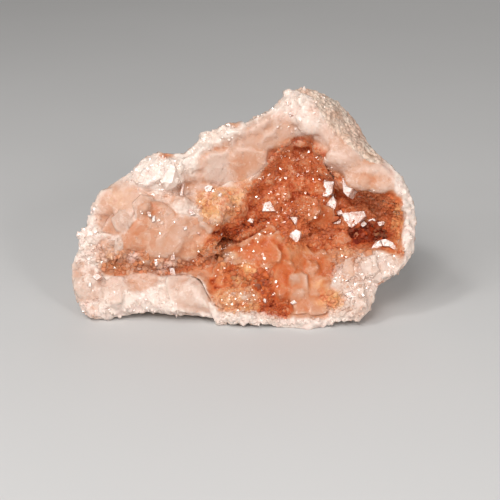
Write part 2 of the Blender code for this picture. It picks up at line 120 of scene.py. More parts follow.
@dataclass(frozen=True)
class FaceFrame:
    """The broken face's own frame, and the point that faces it squarely."""

    lean: float = math.radians(22.0)  # how far the face leans back
    # Where its origin lies in the standing stone, in mm.
    shift: tuple[float, float, float] = (-0.06045, -21.72346, 0.0)
    eye: tuple[float, float, float] = (1.645, 18.38, 283.7)  # mm, in the face's own frame

    @cached_property
    def to_world(self) -> Matrix:
        """The matrix from millimetres on the face to metres on the standing stone."""
        turn = Matrix.Rotation(math.pi / 2.0 - self.lean, 4, "X")
        return Matrix.Scale(1.0 / METRE, 4) @ Matrix.Translation(self.shift) @ turn

    @cached_property
    def to_face(self) -> Matrix:
        """The matrix from metres on the standing stone to millimetres on the face."""
        return self.to_world.inverted()

    def seen(self, places: Array) -> tuple[Array, Array]:
        """Project points onto the face as they are seen from the eye.

        Args:
            places: An array of points (u, v, w), in mm.

        Returns:
            The u and the v where their lines of sight meet the plane w = 0.
        """
        scale = self.eye[2] / (self.eye[2] - places[:, 2])
        return (
            self.eye[0] + (places[:, 0] - self.eye[0]) * scale,
            self.eye[1] + (places[:, 1] - self.eye[1]) * scale,
        )

    def sight(self, place: Place) -> Vector:
        """The unit direction from the eye to a place of the plane w = 0."""
        return (Vector((*place, 0.0)) - Vector(self.eye)).normalized()

    def meet(self, place: Place, point: Vector, normal: Vector) -> Vector:
        """Find where a line of sight meets a plane.

        Args:
            place: Where the line of sight crosses w = 0.
            point: A point of the plane.
            normal: The plane's normal.

        Returns:
            The meeting point, in mm.
        """
        eye, sight = Vector(self.eye), self.sight(place)
        return eye + sight * ((point - eye).dot(normal) / sight.dot(normal))


FACE = FaceFrame()


@dataclass(frozen=True)
class Patch:
    """A soft-edged elliptical patch of the face, in mm, as it is seen from the eye."""

    u: float
    v: float
    half_u: float
    half_v: float
    level: float = 1.0  # how much of a trait it lays on the face
    turn: float = 0.0  # degrees
    core: float = 0.35  # how far from its middle to its edge it covers all

    @cached_property
    def facing(self) -> Place:
        """The cosine and the sine of its turn."""
        return math.cos(math.radians(self.turn)), math.sin(math.radians(self.turn))

    def cover(self, u: Array, v: Array) -> Array:
        """How much of each place the patch covers.

        Args:
            u: The places' u, in mm.
            v: The places' v, in mm.

        Returns:
            Shares from 0 to 1.
        """
        cos, sin = self.facing
        along = ((u - self.u) * cos + (v - self.v) * sin) / self.half_u
        across = ((v - self.v) * cos - (u - self.u) * sin) / self.half_v
        return 1.0 - smooth_step(np.hypot(along, across), self.core, 1.0)

    def random_place(self, rng: random.Random) -> Place:
        """Draw a place inside the patch, evenly over its area.

        Args:
            rng: The source of chance.

        Returns:
            The place.
        """
        angle, far = rng.uniform(0.0, math.tau), math.sqrt(rng.random())
        along, across = self.half_u * far * math.cos(angle), self.half_v * far * math.sin(angle)
        cos, sin = self.facing
        return self.u + along * cos - across * sin, self.v + along * sin + across * cos


@dataclass(frozen=True)
class Area:
    """A soft-edged area of the face inside an outline, as it is seen from the eye."""

    name: str
    soft: float  # mm, how wide its edge is
    levels: dict[Trait, float]  # what the quartz is like inside
    outline: Outline

    def cover(self, u: Array, v: Array) -> Array:
        """How much of each place the area covers.

        Args:
            u: The places' u, in mm.
            v: The places' v, in mm.

        Returns:
            Shares from 0 to 1.
        """
        inside = np.zeros(len(u), bool)
        gap = np.full(len(u), np.inf)
        for start, end in zip(self.outline, self.outline[1:] + self.outline[:1]):
            gap = np.minimum(gap, distance_to(start, end, u, v))
            if end[1] != start[1]:
                share = (v - start[1]) / (end[1] - start[1])
                crossing = start[0] + share * (end[0] - start[0])
                inside ^= ((start[1] > v) != (end[1] > v)) & (u < crossing)
        return smooth_step(np.where(inside, gap, -gap), -0.5 * self.soft, 0.5 * self.soft)


@dataclass(frozen=True)
class Staining:
    """Where each trait lies on the face, in layers that are laid one over another."""

    areas: tuple[Area, ...]
    spots: dict[Trait, tuple[Patch, ...]]
    base: tuple[float, ...] = (0.08, 0.0, 0.12, 0.70)  # the bare quartz's own stains
    wander: float = 0.6  # mm, how far the edges stray
    wander_size: float = 2.6  # mm, the size of those strays
    wander_seed: int = 7

    def amounts(self, places: Array) -> dict[Trait, Array]:
        """Find how much of each trait lies at some points.

        Args:
            places: An array of points (u, v, w), in mm.

        Returns:
            For each trait, one amount from 0 to 1 for each point.
        """
        u, v = FACE.seen(places)
        noise.seed_set(self.wander_seed)
        strays = np.array([
            noise.noise_vector(Vector(place) / self.wander_size) for place in places.tolist()
        ])
        u, v = u + self.wander * strays[:, 0], v + self.wander * strays[:, 1]
        covers = [area.cover(u, v) for area in self.areas]
        found = {}
        for trait, level in zip(Trait, self.base):
            amount = np.full(len(places), level)
            for area, cover in zip(self.areas, covers):
                if trait in area.levels:
                    amount += (area.levels[trait] - amount) * cover
            for spot in self.spots[trait]:
                amount += (spot.level - amount) * spot.cover(u, v)
            found[trait] = amount
        return found


PINK_BLOCK = ((-26.7, 12.5), (-23.3, 13.4), (-19.5, 13.2), (-19.2, 9.8), (-23.3, 8.6), (-26.5, 9.1))
LAVENDER_CRYSTAL = (
    (-31.7, 10.9), (-30.1, 12.3), (-27.4, 12.5), (-26.7, 9.3), (-27.6, 6.4), (-30.1, 6.1),
    (-31.5, 8.2),
)

AREAS = (
    Area("hollow", 1.2, {Trait.RUST: 0.6, Trait.MILK: 0.02}, (
        (3.5, 34.7), (9.6, 41.1), (15.3, 43.3), (19.8, 36.5), (33.4, 32.0), (36.1, 29.7), (36.4, 16.6),
        (28.0, 17.9), (21.2, 15.7), (19.8, 9.3), (10.7, 3.0), (-6.3, 5.7), (-8.3, 10.2), (-12.0, 12.7),
        (-30.1, 12.5), (-31.5, 14.8), (-27.4, 18.4), (-12.4, 15.7), (-7.2, 21.6), (-9.7, 28.6),
        (-7.0, 32.5), (-1.1, 32.9),
    )),
    Area("top wall", 1.5, {Trait.RUST: 0.33, Trait.GRAIN: 0.06}, (
        (-9.0, 41.1), (-1.5, 44.3), (2.1, 47.4), (6.6, 49.5), (10.7, 49.9), (12.1, 47.4), (11.9, 44.0),
        (9.6, 41.8), (5.3, 39.5), (5.5, 37.7), (2.1, 34.3), (-1.1, 32.9), (-7.0, 32.9), (-9.7, 34.3),
        (-10.6, 37.7),
    )),
    Area("top wall foot", 1.5, {Trait.RUST: 0.46}, (
        (-1.1, 41.1), (5.3, 40.6), (5.5, 37.7), (2.1, 34.3), (-1.1, 32.9), (-3.3, 34.3), (-2.9, 38.8),
    )),
    Area("west", 2.0, {Trait.RUST: 0.35, Trait.GRAIN: 0.12}, (
        (-32.9, 30.6), (-29.7, 33.4), (-25.6, 34.7), (-21.0, 32.9), (-18.8, 30.6), (-24.7, 26.6),
        (-27.0, 22.0), (-27.9, 21.6), (-32.4, 22.5), (-33.8, 26.6),
    )),
    Area("middle slope", 2.5, {Trait.RUST: 0.34}, (
        (-18.8, 32.0), (-13.3, 35.2), (-8.8, 36.1), (-7.0, 32.9), (-10.6, 32.0), (-10.6, 28.6),
        (-17.4, 28.8),
    )),
    Area("lips", 1.0, {Trait.RUST: 0.33, Trait.GRAIN: 0.1}, (
        (12.3, 46.8), (15.5, 49.7), (21.6, 45.4), (27.5, 38.8), (32.1, 38.8), (34.6, 35.4),
        (34.1, 32.0), (30.2, 30.9), (24.3, 32.9), (22.5, 35.2), (18.0, 37.7), (18.9, 40.6),
    )),
    Area("cave and valley", 1.0, {Trait.RUST: 0.71}, (
        (11.2, 43.8), (15.3, 44.3), (18.9, 40.6), (18.0, 37.7), (22.5, 35.2), (24.3, 32.9),
        (30.2, 30.9), (34.1, 32.0), (36.1, 30.4), (36.1, 16.6), (34.8, 15.7), (33.0, 17.9),
        (25.7, 19.3), (23.2, 18.4), (19.8, 18.8), (18.0, 17.9), (10.7, 18.4), (6.6, 24.3), (4.6, 23.8),
        (3.2, 22.2), (0.5, 21.1), (-2.4, 20.2), (-4.7, 20.4), (-7.4, 19.3), (-9.9, 17.9), (-12.7, 15.2),
        (-14.0, 15.2), (-7.2, 21.1), (-6.1, 23.4), (-1.1, 26.6), (2.8, 34.7), (5.5, 37.7), (5.3, 39.5),
        (6.6, 40.6), (9.6, 41.5),
    )),
    Area("gully", 1.2, {Trait.RUST: 0.5}, (
        (-32.9, 12.5), (-31.7, 14.8), (-29.0, 16.6), (-27.6, 18.6), (-22.9, 18.4), (-21.0, 16.8),
        (-12.4, 15.7), (-13.8, 14.3), (-18.8, 13.2), (-23.3, 13.6),
    )),
    Area("rose mass", 0.7, {Trait.RUST: 0.44, Trait.GRAIN: 0.0}, (
        (-27.2, 18.6), (-27.4, 21.6), (-24.2, 25.2), (-24.2, 27.7), (-22.6, 29.5), (-17.6, 29.0),
        (-15.1, 27.0), (-9.7, 25.9), (-7.0, 23.6), (-7.0, 22.0), (-9.5, 18.6), (-10.2, 16.3),
        (-12.7, 15.4), (-14.7, 16.6), (-20.4, 16.3), (-22.0, 17.9),
    )),
    Area("boss", 0.6, {Trait.RUST: 0.7, Trait.GRAIN: 0.0}, (
        (-5.2, 17.9), (-3.8, 19.5), (3.7, 22.5), (5.7, 24.7), (7.5, 23.8), (10.7, 18.6), (11.4, 16.1),
        (9.4, 15.0), (5.0, 15.4), (-2.0, 16.3),
    )),
    Area("boss foot", 0.6, {Trait.RUST: 0.74, Trait.GRAIN: 0.0}, (
        (7.5, 15.2), (9.1, 16.8), (11.2, 15.9), (12.5, 13.8), (9.6, 6.8), (7.5, 6.6), (6.2, 9.5),
    )),
    Area("bench", 1.2, {Trait.RUST: 0.8}, (
        (-8.1, 10.2), (-6.8, 14.3), (-3.3, 15.7), (4.4, 14.8), (6.6, 11.6), (7.5, 7.0), (10.3, 5.7),
        (10.3, 3.0), (5.7, 3.0), (1.6, 5.7), (-4.7, 7.0), (-7.4, 8.2),
    )),
    Area("middle", 1.2, {Trait.RUST: 0.61}, (
        (10.3, 18.4), (18.0, 17.9), (20.9, 15.7), (21.6, 13.4), (18.7, 12.5), (15.3, 13.8),
        (11.4, 13.4),
    )),
    Area("pane", 0.8, {Trait.RUST: 0.53, Trait.GRAIN: 0.08}, (
        (10.7, 12.7), (15.3, 13.8), (19.3, 12.5), (19.8, 8.9), (18.0, 7.0), (19.8, 3.0), (12.1, 2.5),
        (10.3, 5.7),
    )),
    Area("south-east", 1.2, {Trait.RUST: 0.19}, (
        (23.2, 15.7), (27.1, 17.9), (32.1, 17.9), (35.2, 17.0), (37.0, 15.7), (38.4, 18.4), (38.4, 9.3),
        (30.0, 4.8), (26.6, 1.4), (23.2, 3.0), (21.2, 7.0), (21.6, 12.7),
    )),
    Area("shoulder", 1.2, {Trait.RUST: 0.4, Trait.AMBER: 0.62, Trait.GRAIN: 0.25}, (
        (-10.6, 32.0), (-7.0, 32.9), (0.7, 32.5), (-1.5, 26.1), (-4.3, 24.3), (-7.0, 23.8),
        (-10.6, 28.6),
    )),
    Area("grains", 1.0, {Trait.RUST: 0.56, Trait.AMBER: 0.5}, (
        (-7.0, 9.3), (1.6, 10.2), (4.4, 7.5), (3.5, 4.8), (-5.6, 4.3),
    )),
    Area("pale block", 0.5, {Trait.RUST: 0.24, Trait.GRAIN: 0.05}, (
        (-17.4, 12.3), (-11.7, 12.9), (-10.4, 12.3), (-7.7, 8.2), (-7.4, 4.3), (-12.0, 3.9),
        (-15.1, 4.8), (-17.0, 8.2),
    )),
    Area("pink block", 1.2, {Trait.RUST: 0.36, Trait.GRAIN: 0.05}, PINK_BLOCK),
    Area("lavender crystal", 0.5, {Trait.RUST: 0.24, Trait.GRAIN: 0.05}, LAVENDER_CRYSTAL),
    Area("left foot", 0.8, {Trait.RUST: 0.26}, (
        (-39.7, 15.7), (-35.1, 15.7), (-31.9, 11.6), (-31.7, 7.0), (-35.8, 5.7), (-39.7, 8.4),
    )),
    Area("right rim", 0.8, {Trait.MILK: 0.8}, (
        (32.3, 38.8), (37.5, 33.1), (39.3, 28.6), (40.2, 24.1), (39.8, 18.4), (38.0, 14.3),
        (36.4, 13.8), (36.1, 30.4), (32.3, 36.1),
    )),
    Area("bottom rim", 1.0, {Trait.MILK: 0.85}, (
        (-38.1, 6.6), (-32.4, 7.0), (-26.7, 6.4), (-23.3, 8.6), (-19.2, 9.3), (-17.0, 7.9),
        (-14.7, 4.3), (-7.4, 3.9), (-4.0, 3.0), (4.4, 4.3), (10.7, 2.5), (24.3, 3.4), (27.7, 1.4),
        (13.0, -1.1), (0.5, -0.7), (-7.4, 1.6), (-21.0, 3.0), (-31.5, 0.9), (-37.8, 2.5),
    )),
    Area("middle", 0.8, {Trait.GRAIN: 0.12}, (
        (10.3, 18.4), (18.9, 19.3), (20.0, 17.2), (20.0, 13.8), (18.9, 12.3), (12.5, 13.4),
        (11.2, 14.3),
    )),
    Area("east block", 0.6, {Trait.GRAIN: 0.3}, (
        (26.6, 17.0), (30.2, 20.7), (32.5, 21.1), (37.0, 15.7), (35.2, 12.7), (31.6, 11.6),
        (28.4, 11.8),
    )),
    Area("south-east block", 0.6, {Trait.GRAIN: 0.3}, (
        (23.4, 10.7), (25.7, 11.6), (28.0, 11.1), (30.2, 9.3), (30.5, 7.0), (27.1, 4.1), (24.1, 5.2),
    )),
    Area("left foot", 0.8, {Trait.GRAIN: 0.5}, (
        (-39.7, 14.8), (-35.1, 14.8), (-32.4, 11.1), (-32.2, 7.5), (-35.8, 6.1), (-39.2, 8.9),
    )),
    Area("rim's notch", 0.5, {Trait.GRAIN: 0.9}, (
        (30.2, 12.0), (31.6, 11.6), (31.1, 9.8), (30.0, 10.0),
    )),
)

SPOTS = {
    Trait.RUST: (
        Patch(12.5, 39.8, 7.2, 4.9, 0.7, 0.0, 0.6), Patch(29.0, 26.5, 8.2, 6.6, 0.64, 0.0, 0.5),
        Patch(28.4, 22.3, 5.8, 3.0, 1.0, 0.0, 0.6), Patch(-1.8, 23.0, 9.5, 2.2, 0.84, 22.0, 0.5),
        Patch(5.7, 7.5, 2.5, 4.3, 0.8, 0.0, 0.4), Patch(8.5, 4.3, 3.6, 2.0, 0.8),
        Patch(17.8, 26.3, 4.1, 2.7, 0.74, 0.0, 0.6), Patch(22.7, 17.0, 5.4, 2.7, 0.48),
        Patch(-24.2, 20.4, 3.4, 4.2, 0.52, 0.0, 0.3), Patch(-13.6, 22.8, 3.6, 4.6, 0.38, 0.0, 0.4),
        Patch(-19.8, 27.8, 4.0, 1.8, 0.5), Patch(-18.6, 24.6, 3.6, 2.6, 0.36),
        Patch(-31.3, 18.4, 4.5, 3.6, 0.36), Patch(-28.0, 15.6, 3.4, 2.2, 0.5),
        Patch(-17.4, 39.9, 2.5, 1.2, 0.72), Patch(-2.0, 47.0, 1.8, 1.1, 0.5),
        Patch(16.2, 50.2, 1.8, 3.2, 0.4), Patch(29.6, 38.6, 2.7, 1.2, 0.55),
        Patch(29.1, 34.0, 6.0, 3.4, 0.47, 0.0, 0.2), Patch(34.4, 24.5, 1.9, 8.0, 0.8),
        Patch(-8.5, 12.9, 3.6, 2.0, 0.5), Patch(-7.2, 8.6, 1.1, 2.7, 0.62),
        Patch(31.1, 10.7, 1.1, 1.8, 0.5), Patch(19.4, 7.6, 3.6, 3.0, 0.62),
        Patch(15.5, 46.8, 4.0, 4.2, 0.18), Patch(17.9, 15.4, 2.2, 3.4, 0.68),
        Patch(-35.1, 3.9, 3.6, 2.3, 0.34), Patch(-19.9, 35.4, 8.0, 4.6, 0.0, 0.0, 0.5),
        Patch(-5.6, 36.4, 4.6, 3.8, 0.18, 0.0, 0.3), Patch(-2.7, 16.8, 2.6, 1.8, 0.32),
        Patch(0.6, 14.2, 3.8, 2.2, 0.72), Patch(-0.6, 7.9, 2.8, 1.4, 0.36, 0.0, 0.3),
        Patch(-1.1, 4.1, 2.6, 0.9, 0.28), Patch(-0.4, 5.9, 2.8, 0.5, 0.88, -5.0),
        Patch(3.2, 10.0, 1.9, 0.7, 0.84, -35.0), Patch(-3.8, 14.1, 2.3, 0.6, 0.86, -10.0),
        Patch(1.0, 11.8, 2.9, 0.5, 0.88),
    ),
    Trait.AMBER: (
        Patch(-3.3, 15.7, 3.6, 2.7, 0.55), Patch(19.8, 7.0, 4.5, 3.2, 1.0),
        Patch(-2.7, 16.8, 2.6, 1.8, 0.6), Patch(0.8, 14.2, 3.6, 2.0, 0.8),
        Patch(17.3, 10.4, 2.6, 2.3, 0.6), Patch(35.0, 24.1, 1.8, 7.7, 0.6),
        Patch(22.1, 17.9, 4.5, 2.3, 0.4), Patch(-1.8, 11.6, 5.7, 2.3, 0.4),
        Patch(-8.6, 19.5, 5.0, 2.0, 0.3, 22.0), Patch(-30.1, 15.7, 4.5, 3.2, 0.25),
        Patch(13.0, 18.8, 4.5, 4.5, 0.2), Patch(-0.6, 33.2, 3.4, 2.0, 0.25),
        Patch(-27.5, 30.5, 6.0, 3.6, 0.18),
    ),
    Trait.MILK: (
        Patch(-35.6, 21.8, 3.9, 12.5, 0.85, 0.0, 0.5), Patch(-19.9, 35.2, 8.0, 5.4, 0.85, 0.0, 0.5),
        Patch(-10.4, 38.2, 3.2, 2.4, 0.6), Patch(10.7, 51.3, 7.3, 4.5, 0.6, 0.0, 0.5),
        Patch(15.7, 46.8, 4.1, 4.1, 0.45, 0.0, 0.6), Patch(20.6, 42.0, 5.2, 3.2, 0.4, -35.0, 0.5),
        Patch(28.6, 36.6, 3.6, 1.0, 0.7, -8.0), Patch(31.0, 12.4, 6.4, 6.4, 0.7, 0.0, 0.5),
        Patch(-29.7, 9.3, 3.2, 3.6, 0.5), Patch(-4.7, 5.9, 5.0, 2.4, 0.2),
        Patch(-17.4, 26.2, 3.0, 2.2, 0.35), Patch(-12.6, 22.6, 3.0, 4.0, 0.3),
        Patch(21.6, 13.0, 2.6, 2.0, 0.6), Patch(-6.0, 33.6, 1.4, 1.2, 0.7),
        Patch(-24.9, 16.8, 1.9, 1.6, 0.85), Patch(-17.6, 14.8, 2.7, 1.8, 0.65),
        Patch(-2.6, 17.0, 1.8, 1.4, 0.5),
    ),
    Trait.GRAIN: (
        Patch(17.8, 26.3, 3.8, 2.6, 0.05, 0.0, 0.7), Patch(-6.4, 11.0, 2.4, 2.4, 0.2),
    ),
}

STAINING = Staining(AREAS, SPOTS)


@dataclass(frozen=True)
class Relief:
    """Unevenness of a stone surface, in mm: grains, rounded lumps and tilted flat facets."""

    grain: float
    grain_size: float
    lump: float
    lump_size: float
    facet: float
    facet_size: float
    shift: float  # where the patterns start, in their own sizes
    mean_gap: float = 0.45  # the usual distance to a lump's middle, in lump sizes
    scatter: float = 7.3  # what sets neighbouring facets' tilts apart

    def height(self, place: Vector) -> float:
        """How far the surface stands out at a point.

        Args:
            place: The point (u, v, w), in mm.

        Returns:
            The height in mm, negative where the surface is sunk.
        """
        offset = Vector((self.shift, self.shift, self.shift))
        height = self.grain * noise.noise(place / self.grain_size + offset)
        nearest = noise.voronoi(place / self.lump_size + offset)[0][0]
        height += self.lump * (self.mean_gap - nearest)
        scaled = place / self.facet_size + offset
        middle = noise.voronoi(scaled)[1][0]
        tilt = noise.cell_vector(middle * self.scatter) * 2.0 - Vector((1.0, 1.0, 1.0))
        return height + self.facet * max(-1.0, min(1.0, (scaled - middle).dot(tilt)))


def rooted_block(ring: Sequence[Vector], sink: Vector, flare: float) -> Shape:
    """Extrude a flat face into what it grows out of.

    Args:
        ring: The face's corners.
        sink: The way from the face to its foot.
        flare: How many times wider the foot is than the face.

    Returns:
        The closed shape.
    """
    block = bmesh.new()
    lid = block.faces.new([block.verts.new(corner) for corner in ring])
    lid.normal_update()
    if lid.normal.z < 0.0:
        lid.normal_flip()
    sunk = bmesh.ops.extrude_face_region(block, geom=[lid])["geom"]
    base = [item for item in sunk if isinstance(item, bmesh.types.BMVert)]
    bmesh.ops.translate(block, verts=base, vec=sink)
    foot = sum((vertex.co for vertex in base), Vector()) / len(base)
    bmesh.ops.scale(block, verts=base, vec=(flare, flare, 1.0), space=Matrix.Translation(-foot))
    bmesh.ops.recalc_face_normals(block, faces=block.faces[:])
    return block


@dataclass(frozen=True)
class Slab:
    """A flat-topped block of massive quartz, grown into the face."""

    name: str
    corners: Outline
    lift: float  # mm, how far its top stands out of the face
    slope: tuple[float, float]  # how steeply its top rises along u and v
    edge: float = 0.3  # mm, the width of its worn edges
    flare: float = 1.12  # how much wider it is where it is rooted
    root: float = 2.6  # mm, how deep it is rooted
    steepest: float = 0.6  # the steepest rise of the face that it follows

    def grow(self, target: Shape, surface: "Surface") -> None:
        """Add the block to a shape.

        Args:
            target: The shape to add it to.
            surface: The surface that it grows out of.
        """
        found = [surface.hit(corner) for corner in self.corners]
        middle = sum(found, Vector()) / len(found)
        system = np.array([(p.x - middle.x, p.y - middle.y, 1.0) for p in found])
        rises = np.linalg.lstsq(system, np.array([p.z - middle.z for p in found]), rcond=None)[0]
        rise_u, rise_v = np.clip(rises[:2], -self.steepest, self.steepest)
        top = Vector((-rise_u - self.slope[0], -rise_v - self.slope[1], 1.0)).normalized()
        centre = middle + Vector((0.0, 0.0, self.lift))
        block = rooted_block([FACE.meet(corner, centre, top) for corner in self.corners],
                             Vector((0.0, 0.0, -self.lift - self.root)), self.flare)
        bmesh.ops.bevel(block, geom=block.edges[:], offset=self.edge, segments=2, profile=0.5,
                        affect="EDGES", material=-1, clamp_overlap=True)
        add_shape(target, block)


@dataclass(frozen=True)
class Lump:
    """A rounded lump of quartz, grown into the face."""

    name: str
    middle: Place
    half: tuple[float, float]  # mm, half its width and half its height
    lift: float  # mm, how far it stands out of the face
    root: float = 1.2  # mm, how deep it is rooted
    rough: float = 0.25  # mm
    roughness_pitch: float = 0.6  # how many waves the roughness has to a mm

    def grow(self, target: Shape, surface: "Surface") -> None:
        """Add the lump to a shape.

        Args:
            target: The shape to add it to.
            surface: The surface that it grows out of.
        """
        ball = bmesh.new()
        bmesh.ops.create_icosphere(ball, subdivisions=3, radius=1.0)
        depth = self.lift + self.root
        bmesh.ops.scale(ball, verts=ball.verts[:], vec=(*self.half, depth))
        middle = surface.hit(self.middle) - Vector((0.0, 0.0, depth - self.lift))
        bmesh.ops.translate(ball, verts=ball.verts[:], vec=middle)
        for vertex in ball.verts:
            wave = noise.noise(vertex.co * self.roughness_pitch)
            vertex.co += vertex.normal * self.rough * wave
        add_shape(target, ball)


def mesh_of(name: str, shape: Shape) -> Mesh:
    """Make a mesh of a shape.

    Args:
        name: The mesh's name.
        shape: The shape, which is freed.

    Returns:
        The mesh.
    """
    mesh = bpy.data.meshes.new(name)
    shape.to_mesh(mesh)
    shape.free()
    return mesh


def add_shape(target: Shape, shape: Shape) -> None:
    """Append one shape to another.

    Args:
        target: The shape that grows.
        shape: The shape that is added, and freed.
    """
    carrier = mesh_of("carrier", shape)
    target.from_mesh(carrier)
    bpy.data.meshes.remove(carrier)


def in_scene(name: str, data: bpy.types.ID) -> Piece:
    """Make an object and put it in the scene.

    Args:
        name: The object's name.
        data: Its mesh, lamp or camera.

    Returns:
        The object.
    """
    made = bpy.data.objects.new(name, data)
    bpy.context.scene.collection.objects.link(made)
    return made


def cad_shape(node: str) -> Shape:
    """Copy a CAD node's shape into the face frame.

    Args:
        node: The node's name.

    Returns:
        The merged shape, in mm.
    """
    shape = bmesh.new()
    shape.from_mesh(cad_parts[node].data)
    bmesh.ops.transform(shape, matrix=FACE.to_face, verts=shape.verts[:])
    bmesh.ops.remove_doubles(shape, verts=shape.verts[:], dist=MERGED)
    return shape


def fused(shape: Shape, voxel: float) -> Mesh:
    """Fuse a shape's overlapping bodies into one even skin.

    Args:
        shape: The bodies, which are freed.
        voxel: The size of the skin's faces, in mm.

    Returns:
        The skin.
    """
    bodies = mesh_of("bodies", shape)
    carrier = in_scene("fusing", bodies)
    remesh = carrier.modifiers.new("skin", "REMESH")
    remesh.mode = "VOXEL"
    remesh.voxel_size = voxel
    evaluated = carrier.evaluated_get(bpy.context.evaluated_depsgraph_get())
    skin = bpy.data.meshes.new_from_object(evaluated)
    bpy.data.objects.remove(carrier, do_unlink=True)
    bpy.data.meshes.remove(bodies)
    return skin


def mesh_places(mesh: Mesh) -> Array:
    """Read where a mesh's points are.

    Args:
        mesh: The mesh.

    Returns:
        An array of (u, v, w).
    """
    places = np.empty(len(mesh.vertices) * 3)
    mesh.vertices.foreach_get("co", places)
    return places.reshape(-1, 3)


def lay_trait(mesh: Mesh, trait: Trait, amounts: Array) -> None:
    """Write how much of a trait lies on each point of a mesh.

    Args:
        mesh: The mesh.
        trait: The trait.
        amounts: One amount for each point.
    """
    layer = mesh.attributes.new(trait.value, "FLOAT", "POINT")
    layer.data.foreach_set("value", amounts.astype(np.float32))


def mesh_normals(mesh: Mesh) -> Array:
    """Read the normals of a mesh's points.

    Args:
        mesh: The mesh.

    Returns:
        An array of unit vectors.
    """
    normals = np.empty(3 * len(mesh.vertices), np.float32)
    mesh.vertex_normals.foreach_get("vector", normals)
    return normals.reshape(-1, 3)


def move_points(mesh: Mesh, places: Array) -> None:
    """Move a mesh's points to new places."""
    mesh.vertices.foreach_set("co", places.ravel())
    mesh.update()


def smoothed(mesh: Mesh, share: Array, steps: int, pull: float = 0.6) -> Array:
    """Find where a mesh's points go when each is drawn towards its neighbours.

    Args:
        mesh: The mesh, which stays as it is.
        share: How strongly each point is drawn, from 0 to 1.
        steps: How many times it is drawn.
        pull: How much of the way it goes each time.

    Returns:
        The points' places.
    """
    count = len(mesh.vertices)
    ends = np.empty(2 * len(mesh.edges), np.int32)
    mesh.edges.foreach_get("vertices", ends)
    ends = ends.reshape(-1, 2)
    near, far = np.concatenate((ends[:, 0], ends[:, 1])), np.concatenate((ends[:, 1], ends[:, 0]))
    degree = np.maximum(np.bincount(near, minlength=count), 1)[:, None]
    places = mesh_places(mesh)
    for _ in range(steps):
        sums = np.stack([np.bincount(near, places[far, axis], count) for axis in range(3)], 1)
        places += pull * share[:, None] * (sums / degree - places)
    return places


def rust_and_shade_hollows(mesh: Mesh, amounts: dict[Trait, Array], steps: int = 26,
            depth: float = 0.22, bare: float = 0.04, rusty: float = 0.18) -> None:
    """Let rust gather in the hollows of a surface, partly as painted shade, and take rust off its
    ridges, partly as wear and partly as a painted highlight.

    Args:
        mesh: The surface.
        amounts: The traits' amounts at its points, which are changed.
        steps: How many times the surface is smoothed to find what stands out of it.
        depth: How deep a hollow is full of rust, in mm.
        bare: How much rust a full hollow gathers in clear quartz.
        rusty: How much more it gathers in the rustiest quartz.
    """
    # Painted shade and highlight beside real rust: hollows darken with more rust, ridges turn paler
    # with less.
    even = smoothed(mesh, np.ones(len(mesh.vertices)), steps)
    sunk = np.clip(((even - mesh_places(mesh)) * mesh_normals(mesh)).sum(1) / depth, -1.0, 1.0)
    rust = amounts[Trait.RUST]
    amounts[Trait.RUST] = np.clip(rust + (bare + rusty * rust) * sunk, 0.0, 1.0)


def stand_piece(name: str, mesh: Mesh, slot: str, smooth: bool) -> Piece:
    """Make a piece of a mesh in the face frame, and let it ride on the stone.

    Args:
        name: The piece's name.
        mesh: Its mesh, in mm on the face.
        slot: The record's material slot; not used.
        smooth: Whether it is shaded smoothly.

    Returns:
        The piece.
    """
    mesh.name = name
    mesh.transform(FACE.to_world)
    places = mesh_places(mesh)
    places[:, 2] = np.maximum(places[:, 2], 0.0)
    move_points(mesh, places)
    mesh.polygons.foreach_set("use_smooth", [smooth] * len(mesh.polygons))
    mesh.update()
    piece = in_scene(name, mesh)
    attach(piece, BODY)
    LOG.info("%s: %d faces", name, len(mesh.polygons))
    return piece


class Surface:
    """A surface to grow crystals on, in the face frame."""

    def __init__(self, meshes: Sequence[Mesh]) -> None:
        """Gather meshes into one tree for ray casts.

        Args:
            meshes: The meshes that make the surface.
        """
        whole = bmesh.new()
        for mesh in meshes:
            whole.from_mesh(mesh)
        self.tree = BVHTree.FromBMesh(whole)
        whole.free()

    def look(self, place: Place) -> tuple[Vector, Vector] | None:
        """Find the point of the surface that is seen at a place.

        Args:
            place: The (u, v) of its line of sight, in mm.

        Returns:
            The point and the surface's normal there, or nothing beside the surface.
        """
        point, normal, _, _ = self.tree.ray_cast(Vector(FACE.eye), FACE.sight(place))
        return None if point is None else (point, normal)

    def hit(self, place: Place) -> Vector:
        """The point of the surface that is seen at a place, or one behind its rim."""
        return (self.look(place) or (Vector((*place, BEHIND_RIM)),))[0]


